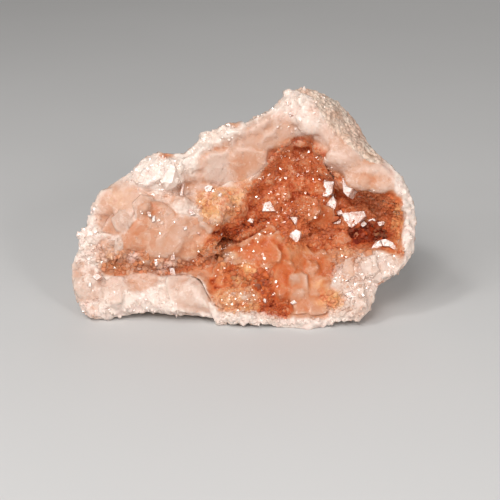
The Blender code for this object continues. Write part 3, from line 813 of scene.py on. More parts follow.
@dataclass(frozen=True)
class CrystalShape:
    """A quartz crystal of unit radius: six prism sides under six end faces of uneven size."""

    seed: int
    body: float = 1.1  # the prism's height over its root, in radii
    root: float = 1.0  # how far the prism reaches below, in radii
    steepness: float = 50.0  # degrees between an end face's normal and the long axis
    unevenness: float = 0.28  # how far apart the end faces are set, in radii
    spare: float = 1.4  # what the point is cut out of above the body, in radii
    apothem: float = 0.866  # how far the prism's sides are from its axis, in radii
    skew: float = 0.04  # radians, how far an end face may be turned off its side
    setting: tuple[float, float] = (-1.0, 0.2)  # how far in and out an end face may be set
    evenness: float = 0.4  # how much of that every second end face takes

    def make(self) -> Shape:
        """Cut the crystal out of a six-sided prism.

        Returns:
            The closed shape, whose point is at its upper end on the Z axis.
        """
        rng = random.Random(self.seed)
        crystal = bmesh.new()
        height = self.root + self.body + self.spare
        bmesh.ops.create_cone(crystal, cap_ends=True, segments=6, radius1=1.0, radius2=1.0,
                              depth=height)
        bmesh.ops.translate(crystal, verts=crystal.verts[:], vec=(0.0, 0.0, 0.5 * height - self.root))
        tilt = math.radians(self.steepness)
        for side in range(6):
            around = math.radians(60.0 * side) + rng.uniform(-self.skew, self.skew)
            normal = Vector((math.sin(tilt) * math.cos(around), math.sin(tilt) * math.sin(around),
                             math.cos(tilt)))
            out = self.apothem * math.sin(tilt) + self.body * math.cos(tilt)
            share = 1.0 if side % 2 else self.evenness
            out += rng.uniform(*self.setting) * self.unevenness * share
            cut = bmesh.ops.bisect_plane(
                crystal, geom=crystal.verts[:] + crystal.edges[:] + crystal.faces[:],
                plane_co=normal * out, plane_no=normal, clear_outer=True)
            rim = [item for item in cut["geom_cut"] if isinstance(item, bmesh.types.BMEdge)]
            bmesh.ops.holes_fill(crystal, edges=rim, sides=0)
        bmesh.ops.recalc_face_normals(crystal, faces=crystal.faces[:])
        return crystal


@dataclass(frozen=True)
class Growth:
    """One crystal's place: its matrix in the face frame, its root and its own shade."""

    matrix: Matrix
    root: Vector
    shade: float


@dataclass(frozen=True)
class Bed:
    """A patch of small crystals, sown at random."""

    name: str
    patch: Patch
    count: int
    radius: tuple[float, float]  # mm, the smallest and the largest
    lean: float = 0.32  # how far the crystals stray from the surface's normal
    stretch: tuple[float, float] = (0.8, 1.5)  # how slender they are
    depth: float = 0.85  # how deep they are seated, in radii
    variety: float = 1.0  # how much their stains differ
    rarity: float = 2.2  # how rare the large ones are
    squash: tuple[float, float] = (0.75, 1.2)  # how wide they are one way, beside the other
    along: float = 0.8  # how strongly they follow the surface's normal
    outward: float = 0.45  # how strongly they turn out of the broken face

    def sow(self, surface: Surface, rng: random.Random) -> Iterator[Growth]:
        """Place the crystals.

        Args:
            surface: What they grow on.
            rng: The source of chance.

        Yields:
            Each crystal's growth.
        """
        for _ in range(self.count):
            place = self.patch.random_place(rng)
            stray = Vector((rng.gauss(0.0, 1.0), rng.gauss(0.0, 1.0), rng.gauss(0.0, 1.0)))
            smallest, largest = self.radius
            size = smallest + (largest - smallest) * rng.random() ** self.rarity
            stretch = rng.uniform(*self.stretch)
            turn = rng.uniform(0.0, math.tau)
            shade = rng.gauss(0.0, self.variety)
            seen = surface.look(place)
            if seen is None:
                continue
            point, normal = seen
            axis = self.along * normal + Vector((0.0, 0.0, self.outward)) + self.lean * stray
            axis.normalize()
            upright = axis.to_track_quat("Z", "Y").to_matrix().to_4x4()
            sizes = Matrix.Diagonal((size, size * rng.uniform(*self.squash), size * stretch, 1.0))
            matrix = (Matrix.Translation(point - self.depth * size * stretch * axis) @ upright
                      @ Matrix.Rotation(turn, 4, "Z") @ sizes)
            yield Growth(matrix, point, shade)


def joined_copies(shapes: Sequence[Shape], growths: Sequence[Growth],
                  picks: Sequence[int]) -> tuple[Mesh, Array]:
    """Join many copies of a few shapes in one mesh.

    Args:
        shapes: The few shapes, which are freed.
        growths: Where each copy goes.
        picks: Which of the shapes each copy is.

    Returns:
        The mesh, in mm on the face, and the number of the growth that each point belongs to.
    """
    parts = []
    for shape in shapes:
        bmesh.ops.triangulate(shape, faces=shape.faces[:])
        shape.verts.index_update()
        corners = np.array([(*vertex.co, 1.0) for vertex in shape.verts])
        faces = np.array([[vertex.index for vertex in face.verts] for face in shape.faces])
        parts.append((corners, faces))
        shape.free()
    places, faces, owners, first = [], [], [], 0
    for number, (growth, pick) in enumerate(zip(growths, picks)):
        corners, sides = parts[pick]
        places.append(corners @ np.array(growth.matrix).T)
        faces.append(sides + first)
        owners.append(np.full(len(corners), number))
        first += len(corners)
    places, faces, owners = (np.concatenate(part) for part in (places, faces, owners))
    mesh = bpy.data.meshes.new("crystals")
    mesh.vertices.add(len(places))
    mesh.vertices.foreach_set("co", places[:, :3].ravel())
    mesh.loops.add(faces.size)
    mesh.loops.foreach_set("vertex_index", faces.ravel())
    mesh.polygons.add(len(faces))
    mesh.polygons.foreach_set("loop_start", np.arange(0, faces.size, 3))
    mesh.update(calc_edges=True)
    return mesh, owners


def sown_mesh(beds: Sequence[Bed], surface: Surface, seed: int,
              variants: int = 7) -> tuple[Mesh, Array, list[Growth]]:
    """Sow beds of crystals where the quartz is granular, and join them in one mesh.

    Args:
        beds: The beds.
        surface: What the crystals grow on.
        seed: The seed of chance.
        variants: How many different crystals there are.

    Returns:
        The mesh, the growth that each point belongs to, and the growths.
    """
    rng = random.Random(seed)
    shapes = [CrystalShape(seed=seed + number).make() for number in range(variants)]
    growths = [growth for bed in beds for growth in bed.sow(surface, rng)]
    grain = STAINING.amounts(np.array([growth.root[:] for growth in growths]))[Trait.GRAIN]
    growths = [growth for growth, share in zip(growths, grain) if share > rng.uniform(*SOWN_GRAIN)]
    picks = [rng.randrange(variants) for _ in growths]
    mesh, owners = joined_copies(shapes, growths, picks)
    return mesh, owners, growths


@dataclass(frozen=True)
class Druse:
    """A crust of small crystals, made of one or more beds."""

    name: str
    beds: tuple[Bed, ...]
    seed: int
    clear_tips: float = 0.10  # the share of their rust that the crystals' tips lack
    stained_roots: float = 0.08  # how much more rust every crystal's root has than its tip

    def build(self, surface: Surface) -> Piece:
        """Sow the beds, and let each crystal take the traits at its root.

        Args:
            surface: What the crystals grow on.

        Returns:
            The piece.
        """
        mesh, owners, growths = sown_mesh(self.beds, surface, self.seed)
        shades = np.array([growth.shade for growth in growths])
        roots = np.array([growth.root[:] for growth in growths])
        amounts = STAINING.amounts(roots)
        reach = np.linalg.norm(mesh_places(mesh) - roots[owners], axis=1)
        highest = np.maximum.reduceat(reach, np.flatnonzero(np.diff(owners, prepend=-1)))
        tip = (reach / highest[owners]) ** 2 - 0.5
        for trait, amount in amounts.items():
            shifted = (amount + SHADE_SPREAD[trait] * shades)[owners]
            if trait is Trait.RUST:
                shifted = shifted - (self.clear_tips * shifted + self.stained_roots) * tip
            lay_trait(mesh, trait, np.clip(shifted, 0.0, 1.0))
        return stand_piece(self.name, mesh, ROSE_SLOT, smooth=False)


@dataclass(frozen=True)
class Mirrors:
    """Flat crystal faces that stand square to the light between the lamp and the eye."""

    name: str
    lamp: Vector
    bright: tuple[Outline, ...] = ()
    dull: tuple[Outline, ...] = ()  # large ones that are turned away
    glints: tuple[tuple[Patch, int], ...] = ()  # where tiny ones lie at random, and how many
    lift: float = 0.30  # mm, how far they stand out at least
    most: float = 1.0  # mm, the most that a sunken corner lifts one
    root: float = 2.2  # mm, how deep they are rooted
    flare: float = 1.06  # how much wider they are where they are rooted
    edge: float = 0.07  # mm, the width of the large ones' worn edges
    stray: float = 0.025  # how far their normals stray
    turned_away: float = 0.28  # how far the dull ones are turned away
    glint_size: tuple[float, float] = (0.12, 0.42)  # mm, the tiny ones' radii
    glint_shape: tuple[float, float] = (0.4, 1.4)  # how far their corners are out, in radii
    glint_lift: float = 0.4  # how far they stand out, in radii
    glint_root: float = 0.4  # mm, how deep they are rooted below one radius
    glint_stray: float = 0.11  # how far the tiny ones' normals stray
    # Carrying less than all the rust paints the faces paler than the quartz around them, a painted
    # highlight.
    rust: float = 0.45  # how much of the rust around them they carry
    seed: int = 5

    def half_way(self, place: Place, point: Vector) -> Vector:
        """The normal that throws the lamp's light from a point to the eye."""
        return ((self.lamp - point).normalized() - FACE.sight(place)).normalized()

    def crystal(self, corners: Sequence[Place], centre: Vector, normal: Vector,
                depth: float) -> Shape:
        """Extrude one face into the surface.

        Args:
            corners: The face's outline, as it is seen from the eye.
            centre: A point of the face.
            normal: The face's normal.
            depth: How deep the crystal goes, in mm.

        Returns:
            The closed shape.
        """
        ring = [FACE.meet(corner, centre, normal) for corner in corners]
        return rooted_block(ring, -depth * normal, self.flare)

    def large(self, surface: Surface, rng: random.Random) -> Iterator[Shape]:
        """Cut the large faces' crystals.

        Args:
            surface: What the crystals grow on.
            rng: The source of chance.

        Yields:
            Each crystal.
        """
        for corners in (*self.bright, *self.dull):
            middle = tuple(sum(part) / len(corners) for part in zip(*corners))
            point = surface.hit(middle)
            normal = self.half_way(middle, point)
            away = self.turned_away if corners in self.dull else 0.0
            normal += Vector((rng.gauss(0.0, self.stray) - away, rng.gauss(0.0, self.stray), 0.0))
            normal.normalize()
            sunken = max(surface.hit(corner).z - FACE.meet(corner, point, normal).z
                         for corner in corners)
            lift = self.lift + min(self.most, max(0.0, sunken))
            centre = point + Vector((0.0, 0.0, lift))
            block = self.crystal(corners, centre, normal, lift + self.root)
            bmesh.ops.bevel(block, geom=block.edges[:], offset=self.edge, segments=1,
                            profile=0.5, affect="EDGES", material=-1)
            yield block

    def tiny(self, surface: Surface, rng: random.Random) -> Iterator[Shape]:
        """Cut the tiny faces' crystals.

        Args:
            surface: What the crystals grow on.
            rng: The source of chance.

        Yields:
            Each crystal.
        """
        for patch, count in self.glints:
            for _ in range(count):
                u, v = patch.random_place(rng)
                sides = rng.randint(3, 5)
                turn = rng.uniform(0.0, math.tau)
                size = rng.uniform(*self.glint_size)
                reach = [size * rng.uniform(*self.glint_shape) for _ in range(sides)]
                angles = [turn + math.tau * side / sides for side in range(sides)]
                stray = Vector((rng.gauss(0.0, 1.0), rng.gauss(0.0, 1.0), 0.0))
                seen = surface.look((u, v))
                if seen is None:
                    continue
                corners = [(u + far * math.cos(angle), v + far * math.sin(angle))
                           for far, angle in zip(reach, angles)]
                normal = self.half_way((u, v), seen[0]) + self.glint_stray * stray
                lift = self.glint_lift * size
                yield self.crystal(corners, seen[0] + Vector((0.0, 0.0, lift)),
                                   normal.normalized(), lift + size + self.glint_root)

    def build(self, surface: Surface) -> Piece:
        """Cut the crystals and join them.

        Args:
            surface: What the crystals grow on.

        Returns:
            The piece.
        """
        rng = random.Random(self.seed)
        whole = bmesh.new()
        for crystal in (*self.large(surface, rng), *self.tiny(surface, rng)):
            add_shape(whole, crystal)
        mesh = mesh_of(self.name, whole)
        for trait, amount in STAINING.amounts(mesh_places(mesh)).items():
            # Painted highlight: the faces take less rust than the quartz around them, where their
            # material reads it.
            lay_trait(mesh, trait, amount * (self.rust if trait is Trait.RUST else 1.0))
        return stand_piece(self.name, mesh, ROSE_SLOT, smooth=False)


@dataclass(frozen=True)
class LineOnFace:
    """A line of points across the face."""

    points: Outline

    def distance(self, u: Array, v: Array) -> Array:
        """Measure how far places are from the line.

        Args:
            u: The places' u, in mm.
            v: The places' v, in mm.

        Returns:
            The distances, in mm.
        """
        parts = zip(self.points, self.points[1:])
        return np.minimum.reduce([distance_to(start, end, u, v) for start, end in parts])

    def above(self, u: Array, v: Array) -> Array:
        """Judge which places lie above the line, between its ends.

        Args:
            u: The places' u, in mm.
            v: The places' v, in mm.

        Returns:
            1 above the line and 0 elsewhere.
        """
        us, vs = zip(*self.points)
        height = np.interp(u, us, vs)
        return ((v > height) & (u > us[0]) & (u < us[-1])).astype(float)


@dataclass(frozen=True)
class Crust:
    """A CAD node's finished skin, fused from its solid, blocks, lumps and rooted crystals."""

    name: str
    node: str
    slot: str
    seed: int
    blocks: tuple[Slab, ...]
    lumps: tuple[Lump, ...]
    beds: tuple[Bed, ...]
    voxel: float
    overlap: float  # mm, how far it reaches into what is around it
    smooth: Relief = Relief(
        grain=0.05, grain_size=0.8, lump=0.10, lump_size=4.0, facet=0.16, facet_size=2.6,
        shift=3.0,
    )
    rough: Relief = Relief(
        grain=0.15, grain_size=0.6, lump=0.30, lump_size=2.3, facet=0.26, facet_size=1.5,
        shift=9.0,
    )
    softening: int = 5  # how many times its massive parts are smoothed
    faint: float = 0.01  # the share below which a relief is left out

    def fused_mesh(self, surface: Surface) -> Mesh:
        """Fuse the skin, with its massive parts smoothed.

        Args:
            surface: The CAD face that the blocks grow out of.

        Returns:
            The mesh, in mm on the face.
        """
        shape = cad_shape(self.node)
        shape.normal_update()
        for vertex in shape.verts:
            vertex.co += self.overlap * vertex.normal
        for growth in (*self.blocks, *self.lumps):
            growth.grow(shape, surface)
        rooted, _, _ = sown_mesh(self.beds, surface, self.seed)
        shape.from_mesh(rooted)
        bpy.data.meshes.remove(rooted)
        mesh = fused(shape, self.voxel)
        move_points(mesh, smoothed(mesh, self.calm(mesh) ** 2, self.softening))
        return mesh

    def calm(self, mesh: Mesh) -> Array:
        """Judge how massive the quartz is at each point of a mesh."""
        return 1.0 - STAINING.amounts(mesh_places(mesh))[Trait.GRAIN]

    def raise_relief(self, mesh: Mesh, shares: Sequence[Array], reliefs: Sequence[Relief],
                     sunk: Array) -> None:
        """Move a mesh's points along their normals.

        Args:
            mesh: The mesh.
            shares: How much of each relief each point takes.
            reliefs: The reliefs.
            sunk: How much deeper each point lies at last, in mm.
        """
        places = mesh_places(mesh)
        heights = -sunk
        for share, relief in zip(shares, reliefs):
            for index in np.flatnonzero(share > self.faint):
                heights[index] += share[index] * relief.height(Vector(places[index]))
        move_points(mesh, places + heights[:, None] * mesh_normals(mesh))

    def build(self, mesh: Mesh) -> Piece:
        """Stain the skin, with rust in its hollows that is partly painted shade and paler ridges that
        are partly a painted highlight, and stand it in its CAD node's place.

        Args:
            mesh: The skin.

        Returns:
            The piece.
        """
        amounts = STAINING.amounts(mesh_places(mesh))
        # Rust in the hollows, partly painted shade, and paler ridges, partly a painted highlight.
        rust_and_shade_hollows(mesh, amounts)
        for trait, amount in amounts.items():
            lay_trait(mesh, trait, amount)
        piece = stand_piece(self.name, mesh, self.slot, smooth=True)
        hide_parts(self.node)
        return piece


@dataclass(frozen=True)
class Lining(Crust):
    """The hollow's crust: massive quartz under the crystals, with a crack above its boss."""

    crack: LineOnFace = LineOnFace(())
    crack_width: float = 0.50  # mm, from its middle to where it fades out
    crack_core: float = 0.125  # mm, from its middle to where it is deepest
    crack_depth: float = 1.3  # mm

    def skin(self, surface: Surface) -> Mesh:
        """Fuse the crust, and give it its relief and its crack.

        Args:
            surface: The CAD face that the blocks grow out of.

        Returns:
            The mesh, in mm on the face.
        """
        mesh = self.fused_mesh(surface)
        calm = self.calm(mesh)
        far = self.crack.distance(*FACE.seen(mesh_places(mesh)))
        cracked = 1.0 - smooth_step(far, self.crack_core, self.crack_width)
        self.raise_relief(mesh, (calm, 1.0 - calm), (self.smooth, self.rough),
                          self.crack_depth * cracked)
        return mesh


@dataclass(frozen=True)
class Wall(Crust):
    """The stone round the hollow: a granular rind behind a lumpy edge of quartz."""

    shoulder: LineOnFace = LineOnFace(())  # the rind's edge at the upper right
    rind_grain: Relief = Relief(
        grain=0.26, grain_size=0.75, lump=0.45, lump_size=1.5, facet=0.35, facet_size=3.4,
        shift=1.0,
    )
    foot: float = 1.2  # mm above the floor, below which the relief fades
    kept: float = 0.70  # the share of the faces that the thinned skin keeps
    turned: tuple[float, float] = (-0.10, 0.30)  # the normals' w between which rind fades out
    deep: tuple[float, float] = (-9.0, -6.0)  # mm, the w between which rind fades out
    fade: float = 0.8  # mm, how wide the rind's edge is at the shoulder

    def rind_share(self, mesh: Mesh) -> Array:
        """Find which points of the stone are rind.

        Args:
            mesh: The stone's skin.

        Returns:
            One share from 0 to 1 for each point.
        """
        places = mesh_places(mesh)
        u, v = FACE.seen(places)
        behind = 1.0 - smooth_step(mesh_normals(mesh)[:, 2], *self.turned)
        deep = 1.0 - smooth_step(places[:, 2], *self.deep)
        fallen = smooth_step(self.shoulder.distance(u, v), 0.0, self.fade)
        fallen *= self.shoulder.above(u, v)
        return np.maximum(np.maximum(behind, deep), fallen)

    def skin(self, surface: Surface) -> tuple[Mesh, Array]:
        """Fuse the stone and roughen it.

        Args:
            surface: The CAD face that the blocks grow out of.

        Returns:
            The mesh, in mm on the face, and the share of rind at each of its points.
        """
        mesh = self.fused_mesh(surface)
        rind = self.rind_share(mesh)
        calm = self.calm(mesh) * (1.0 - rind)
        turn = np.array(FACE.to_world)[2]
        heights = METRE * (mesh_places(mesh) @ turn[:3] + turn[3])
        free = smooth_step(heights, 0.0, self.foot)
        self.raise_relief(mesh, (free * rind, free * calm, free * (1.0 - rind - calm)),
                          (self.rind_grain, self.smooth, self.rough), np.zeros(len(rind)))
        return mesh, rind

    def dress(self, piece: Piece, rind: Array, quartz: Material, rough: Material) -> None:
        """Give the stone's faces their materials, and thin them.

        Args:
            piece: The stone.
            rind: The share of rind at each of its points.
            quartz: The massive quartz's material.
            rough: The rind's material.
        """
        piece.data.materials.append(quartz)
        piece.data.materials.append(rough)
        for face in piece.data.polygons:
            share = sum(rind[index] for index in face.vertices) / len(face.vertices)
            face.material_index = int(share > 0.5)
        thinned = piece.modifiers.new("thinned", "DECIMATE")
        thinned.ratio = self.kept


@dataclass
class Board:
    """A node tree under construction."""

    tree: bpy.types.NodeTree

    @property
    def shader(self) -> bpy.types.Node:
        """The material's Principled BSDF."""
        return self.tree.nodes["Principled BSDF"]

    def feed(self, node: bpy.types.Node, inputs: dict) -> None:
        """Link or set a node's inputs.

        Args:
            node: The node.
            inputs: Sockets or values for its inputs, by name or number.
        """
        for name, value in inputs.items():
            if isinstance(value, Socket):
                self.tree.links.new(value, node.inputs[name])
            else:
                node.inputs[name].default_value = value

    def node(self, kind: str, inputs: dict | None = None, **settings: object) -> bpy.types.Node:
        """Add a node.

        Args:
            kind: The node's type name.
            inputs: Sockets or values for its inputs, by name or number.
            settings: The node's own settings.

        Returns:
            The node.
        """
        made = self.tree.nodes.new(kind)
        for name, value in settings.items():
            setattr(made, name, value)
        self.feed(made, inputs or {})
        return made

    def math(self, operation: str, *values: object, clamp: bool = False) -> Socket:
        """Add a Math node and give its output."""
        inputs = dict(enumerate(values))
        return self.node("ShaderNodeMath", inputs, operation=operation, use_clamp=clamp).outputs[0]

    def product(self, *factors: object) -> Socket:
        """Multiply values, one after another."""
        return reduce(lambda so_far, factor: self.math("MULTIPLY", so_far, factor), factors)

    def ramped(self, value: object, slope: float, start: float, clamp: bool = False) -> Socket:
        """Let a value rise from a start along a slope."""
        return self.math("MULTIPLY_ADD", value, slope, start, clamp=clamp)

    def place(self) -> Socket:
        """Each point's place on the piece, in metres."""
        return self.node("ShaderNodeTexCoord").outputs["Object"]

    def noise(self, vector: object, scale: float, detail: float = 3.0,
              roughness: float = 0.55) -> Socket:
        """Add a Noise Texture.

        Args:
            vector: Where the noise is read.
            scale: How fine it is, in grains to a metre.
            detail: How many finer layers it has.
            roughness: How strong the finer layers are.

        Returns:
            Its value, from 0 to 1.
        """
        inputs = {"Vector": vector, "Scale": scale, "Detail": detail, "Roughness": roughness}
        return self.node("ShaderNodeTexNoise", inputs).outputs["Fac"]

    def bent(self, vector: object, scale: float, reach: float) -> Socket:
        """Bend space with a soft noise.

        Args:
            vector: The places to bend.
            scale: How fine the noise is, in waves to a metre.
            reach: How far apart it may push two places, in metres.

        Returns:
            The bent places.
        """
        made = self.node("ShaderNodeTexNoise", {"Vector": vector, "Scale": scale, "Detail": 2.0})
        centred = self.vector("SUBTRACT", made.outputs["Color"], (0.5, 0.5, 0.5))
        return self.vector("ADD", vector, self.vector("SCALE", centred, reach))

    def spread(self, value: object, low: float, high: float) -> Socket:
        """Stretch a part of a value's range.

        Args:
            value: The value.
            low: What becomes 0.
            high: What becomes 1.

        Returns:
            The stretched value, from 0 to 1.
        """
        inputs = {"Value": value, "From Min": low, "From Max": high}
        return self.node("ShaderNodeMapRange", inputs, interpolation_type="SMOOTHSTEP").outputs[0]

    def blend(self, share: object, under: object, over: object) -> Socket:
        """Mix two colours, by the share of the upper one that shows."""
        return self.node("ShaderNodeMix", {0: share, 6: under, 7: over}, data_type="RGBA").outputs[2]

    def vector(self, operation: str, first: object, second: object) -> Socket:
        """Add a Vector Math node.

        Args:
            operation: What it does.
            first: Its first vector.
            second: Its second vector, or the number that scales the first.

        Returns:
            The resulting vector.
        """
        key = "Scale" if operation == "SCALE" else 1
        return self.node("ShaderNodeVectorMath", {0: first, key: second},
                         operation=operation).outputs[0]

    def cells(self, vector: object, scale: float) -> tuple[Socket, ...]:
        """Break space into cells.

        Args:
            vector: Where the cells are read.
            scale: How many cells there are along a metre.

        Returns:
            A number from 0 to 1 for each cell, a vector of up to half a unit for each cell, and
            the distance from the cell's middle.
        """
        made = self.node("ShaderNodeTexVoronoi", {"Vector": vector, "Scale": scale})
        chance = self.node("ShaderNodeSeparateXYZ", {0: made.outputs["Color"]}).outputs[0]
        tilt = self.vector("SUBTRACT", made.outputs["Color"], (0.5, 0.5, 0.5))
        return chance, tilt, made.outputs["Distance"]

    def seams(self, vector: object, scale: float) -> Socket:
        """How far each point is from the edge of its cell, where space is broken into cells."""
        return self.node("ShaderNodeTexVoronoi", {"Vector": vector, "Scale": scale},
                         feature="DISTANCE_TO_EDGE").outputs["Distance"]

    def faceted(self, tilt: object, flash: float) -> Socket:
        """Tilt the surface's normals.

        Args:
            tilt: The vector that tilts them.
            flash: How much of that vector is added.

        Returns:
            The tilted normals.
        """
        normal = self.node("ShaderNodeNewGeometry").outputs["Normal"]
        tilted = self.vector("ADD", normal, self.vector("SCALE", tilt, flash))
        return self.node("ShaderNodeVectorMath", {0: tilted}, operation="NORMALIZE").outputs[0]

    def bump(self, height: object, depth: float, strength: float, **others: object) -> Socket:
        """Add fine relief to the normals.

        Args:
            height: The relief's height, from 0 to 1.
            depth: How deep it is, in metres.
            strength: How much of it shows, from 0 to 1.
            others: The node's other inputs.

        Returns:
            The normals.
        """
        inputs = {"Height": height, "Distance": depth, "Strength": strength, **others}
        return self.node("ShaderNodeBump", inputs).outputs["Normal"]

    def ramp(self, value: object, stops: Sequence[tuple[float, Colour]]) -> Socket:
        """Add a Color Ramp and give its colour.

        Args:
            value: What the ramp reads.
            stops: The ramp's places and display colours.

        Returns:
            The colour socket.
        """
        made = self.node("ShaderNodeValToRGB", {"Fac": value})
        while len(made.color_ramp.elements) < len(stops):
            made.color_ramp.elements.new(0.5)
        for element, (place, colour) in zip(made.color_ramp.elements, stops):
            element.position = place
            element.color = linear(colour)
        return made.outputs["Color"]


def linear(colour: Colour) -> tuple[float, ...]:
    """Turn a display colour into the linear one, with its alpha, that shaders take."""
    return (*(c / 12.92 if c <= 0.04045 else ((c + 0.055) / 1.055) ** 2.4 for c in colour), 1.0)


def new_material(name: str) -> tuple[Material, Board]:
    """Start a material.

    Args:
        name: Its name.

    Returns:
        The material, and the board that its nodes are laid on.
    """
    material = bpy.data.materials.new(name)
    material.use_nodes = True
    return material, Board(material.node_tree)


@dataclass(frozen=True)
class MineralColours:
    """The node group that turns traits into the quartz's colour, roughness and fine relief."""

    name: str = "mineral_colours"
    results: tuple[tuple[str, str], ...] = (
        ("colour", "Color"), ("roughness", "Float"), ("height", "Float"), ("tilt", "Vector"),
    )
    rust: tuple[tuple[float, Colour], ...] = (
        (0.00, (0.93, 0.86, 0.81)), (0.15, (0.87, 0.77, 0.71)), (0.30, (0.83, 0.68, 0.60)),
        (0.45, (0.80, 0.59, 0.47)), (0.60, (0.79, 0.50, 0.34)), (0.75, (0.79, 0.42, 0.24)),
        (0.88, (0.70, 0.31, 0.16)), (1.00, (0.44, 0.13, 0.06)),
    )
    honey: Colour = (0.93, 0.72, 0.49)
    orange: Colour = (0.85, 0.49, 0.28)
    milk: Colour = (0.96, 0.91, 0.87)
    # the milky veins' pink white, also painted on as glints
    rosy_milk_and_glint: Colour = (0.94, 0.84, 0.80)
    # the painted shade in the seams between the grains
    seam_shade: Colour = (0.72, 0.55, 0.44)

    def make(self) -> bpy.types.NodeTree:
        """Build the group.

        Returns:
            The node group.
        """
        group = bpy.data.node_groups.new(self.name, "ShaderNodeTree")
        for trait in Trait:
            group.interface.new_socket(trait.value, in_out="INPUT", socket_type="NodeSocketFloat")
        for name, kind in self.results:
            group.interface.new_socket(name, in_out="OUTPUT", socket_type=f"NodeSocket{kind}")
        board = Board(group)
        given = group.nodes.new("NodeGroupInput").outputs
        place = board.place()
        massive = board.math("SUBTRACT", 1.0, given["grain"])
        cloud = board.noise(place, 210.0)
        grit = board.noise(place, 1500.0, detail=2.0, roughness=0.6)
        veins = board.noise(place, 520.0, detail=4.0, roughness=0.65)
        bent = board.bent(place, 700.0, 0.0008)
        chance, sugar_tilt, _ = board.cells(bent, 850.0)
        depth, plane_tilt, _ = board.cells(board.bent(place, 330.0, 0.0030), 300.0)
        luck, spark_tilt, reach = board.cells(place, 1900.0)

        # Rust, mottled by clouds and grit, and uneven from grain to grain and plane to plane.
        mottled = board.math("ADD", board.ramped(cloud, 0.24, -0.12),
                             board.ramped(grit, 0.12, -0.06))
        mottled = board.product(mottled, board.ramped(massive, -0.45, 1.0))
        rust = board.math("ADD", given["rust"], mottled)
        planes = board.product(board.ramped(depth, 0.10, -0.05), massive)
        sugar = board.product(board.ramped(chance, 0.10, -0.05), given["grain"])
        rust = board.math("ADD", board.math("ADD", rust, planes), sugar, clamp=True)
        tone = board.ramp(rust, self.rust)

        # Honey-coloured and milky quartz over it, thicker in some clouds than in others.
        warm = board.blend(board.spread(veins, 0.40, 0.66), linear(self.honey), linear(self.orange))
        tone = board.blend(board.product(given["amber"], board.spread(cloud, 0.30, 0.58)), tone, warm)
        white = board.blend(board.spread(veins, 0.38, 0.62), linear(self.milk),
                            linear(self.rosy_milk_and_glint))
        milky = board.product(given["milk"], board.ramped(given["grain"], 0.6, 0.4),
                              board.spread(veins, 0.30, 0.62))
        tone = board.blend(milky, tone, white)

        # Milky veils, painted shade in the seams between the grains, and painted pale glints, all
        # fainter under rust.
        smoke = board.noise(bent, 260.0, detail=6.0, roughness=0.62)
        fold = board.math("ABSOLUTE", board.math("SUBTRACT", smoke, 0.5))
        veil = board.product(board.spread(fold, 0.035, 0.0), board.spread(cloud, 0.44, 0.60),
                             board.ramped(rust, -0.35, 0.35))
        tone = board.blend(veil, tone, linear(self.milk))
        # Painted shade: the seams between the grains darken where the quartz is granular.
        seam_shadow = board.product(board.spread(board.seams(bent, 850.0), 0.10, 0.0), given["grain"],
                             board.spread(cloud, 0.36, 0.60), board.ramped(rust, -0.3, 0.32))
        tone = board.blend(seam_shadow, tone, linear(self.seam_shade))
        # Painted glints: pale spots in a few small cells, whose normals are tilted as well.
        lucky = board.spread(luck, 0.88, 0.92)
        painted_glint = board.product(lucky, board.spread(reach, 0.42, 0.20), board.ramped(rust, -0.6, 0.55))
        tone = board.blend(painted_glint, tone, linear(self.rosy_milk_and_glint))

        # A finely frosted surface, whose grains and planes are tilted one by one.
        rough = board.ramped(board.spread(grit, 0.35, 0.65), 0.16, 0.08)
        frost = board.noise(place, 3600.0, detail=2.0, roughness=0.7)
        height = board.math("ADD", board.math("MULTIPLY_ADD", veins, 0.6, grit),
                            board.product(frost, 0.6))
        tilt = board.vector("ADD", board.vector("SCALE", sugar_tilt, given["grain"]),
                            board.vector("SCALE", plane_tilt, board.product(massive, 0.3)))
        tilt = board.vector("ADD", tilt, board.vector("SCALE", spark_tilt, lucky))
        board.node("NodeGroupOutput", {"colour": tone, "roughness": rough, "height": height,
                                       "tilt": tilt})
        return group


@dataclass(frozen=True)
class Quartz:
    """Stained quartz: glossy, with light that sinks in and comes out again."""

    name: str
    sink: float  # metres, how deep red light sinks in
    weight: float  # how much of the light sinks in
    relief: float  # metres, the fine relief's height
    shine: float  # how much of the base roughness is kept
    flash: float  # how far the smallest faces are tilted
    gloss: float  # how strongly it mirrors, 0.5 being as its IOR says
    dulled: float = 1.1  # how much of the gloss full rust takes away
    depths: Colour = (1.0, 0.75, 0.62)  # how deep each colour sinks beside red

    @staticmethod
    def fading(board: Board, full: float, loss: float, trait: Socket) -> Socket | float:
        """Let a value fade as a trait rises, or set it all over where the trait takes nothing."""
        return board.ramped(trait, -loss, full, clamp=True) if loss else full

    def make(self, colours: bpy.types.NodeTree) -> Material:
        """Build the material.

        Args:
            colours: The mineral colours' node group.

        Returns:
            The material.
        """
        material, board = new_material(self.name)
        given = {}
        for trait in Trait:
            laid = board.node("ShaderNodeAttribute", attribute_name=trait.value)
            given[trait.value] = laid.outputs["Fac"]
        mineral = board.node("ShaderNodeGroup", given, node_tree=colours).outputs
        normal = board.bump(mineral["height"], self.relief, 0.6,
                            Normal=board.faceted(mineral["tilt"], self.flash))
        board.feed(board.shader, {
            "Base Color": mineral["colour"],
            "Specular IOR Level": self.fading(board, self.gloss, self.dulled * self.gloss,
                                              given["rust"]),
            "Roughness": board.product(mineral["roughness"], self.shine),
            "Subsurface Weight": self.fading(board, self.weight, self.weight, given["grain"]),
            "Subsurface Radius": self.depths,
            "Subsurface Scale": self.sink,
            "Normal": normal,
            "IOR": QUARTZ_IOR,
        })
        return material


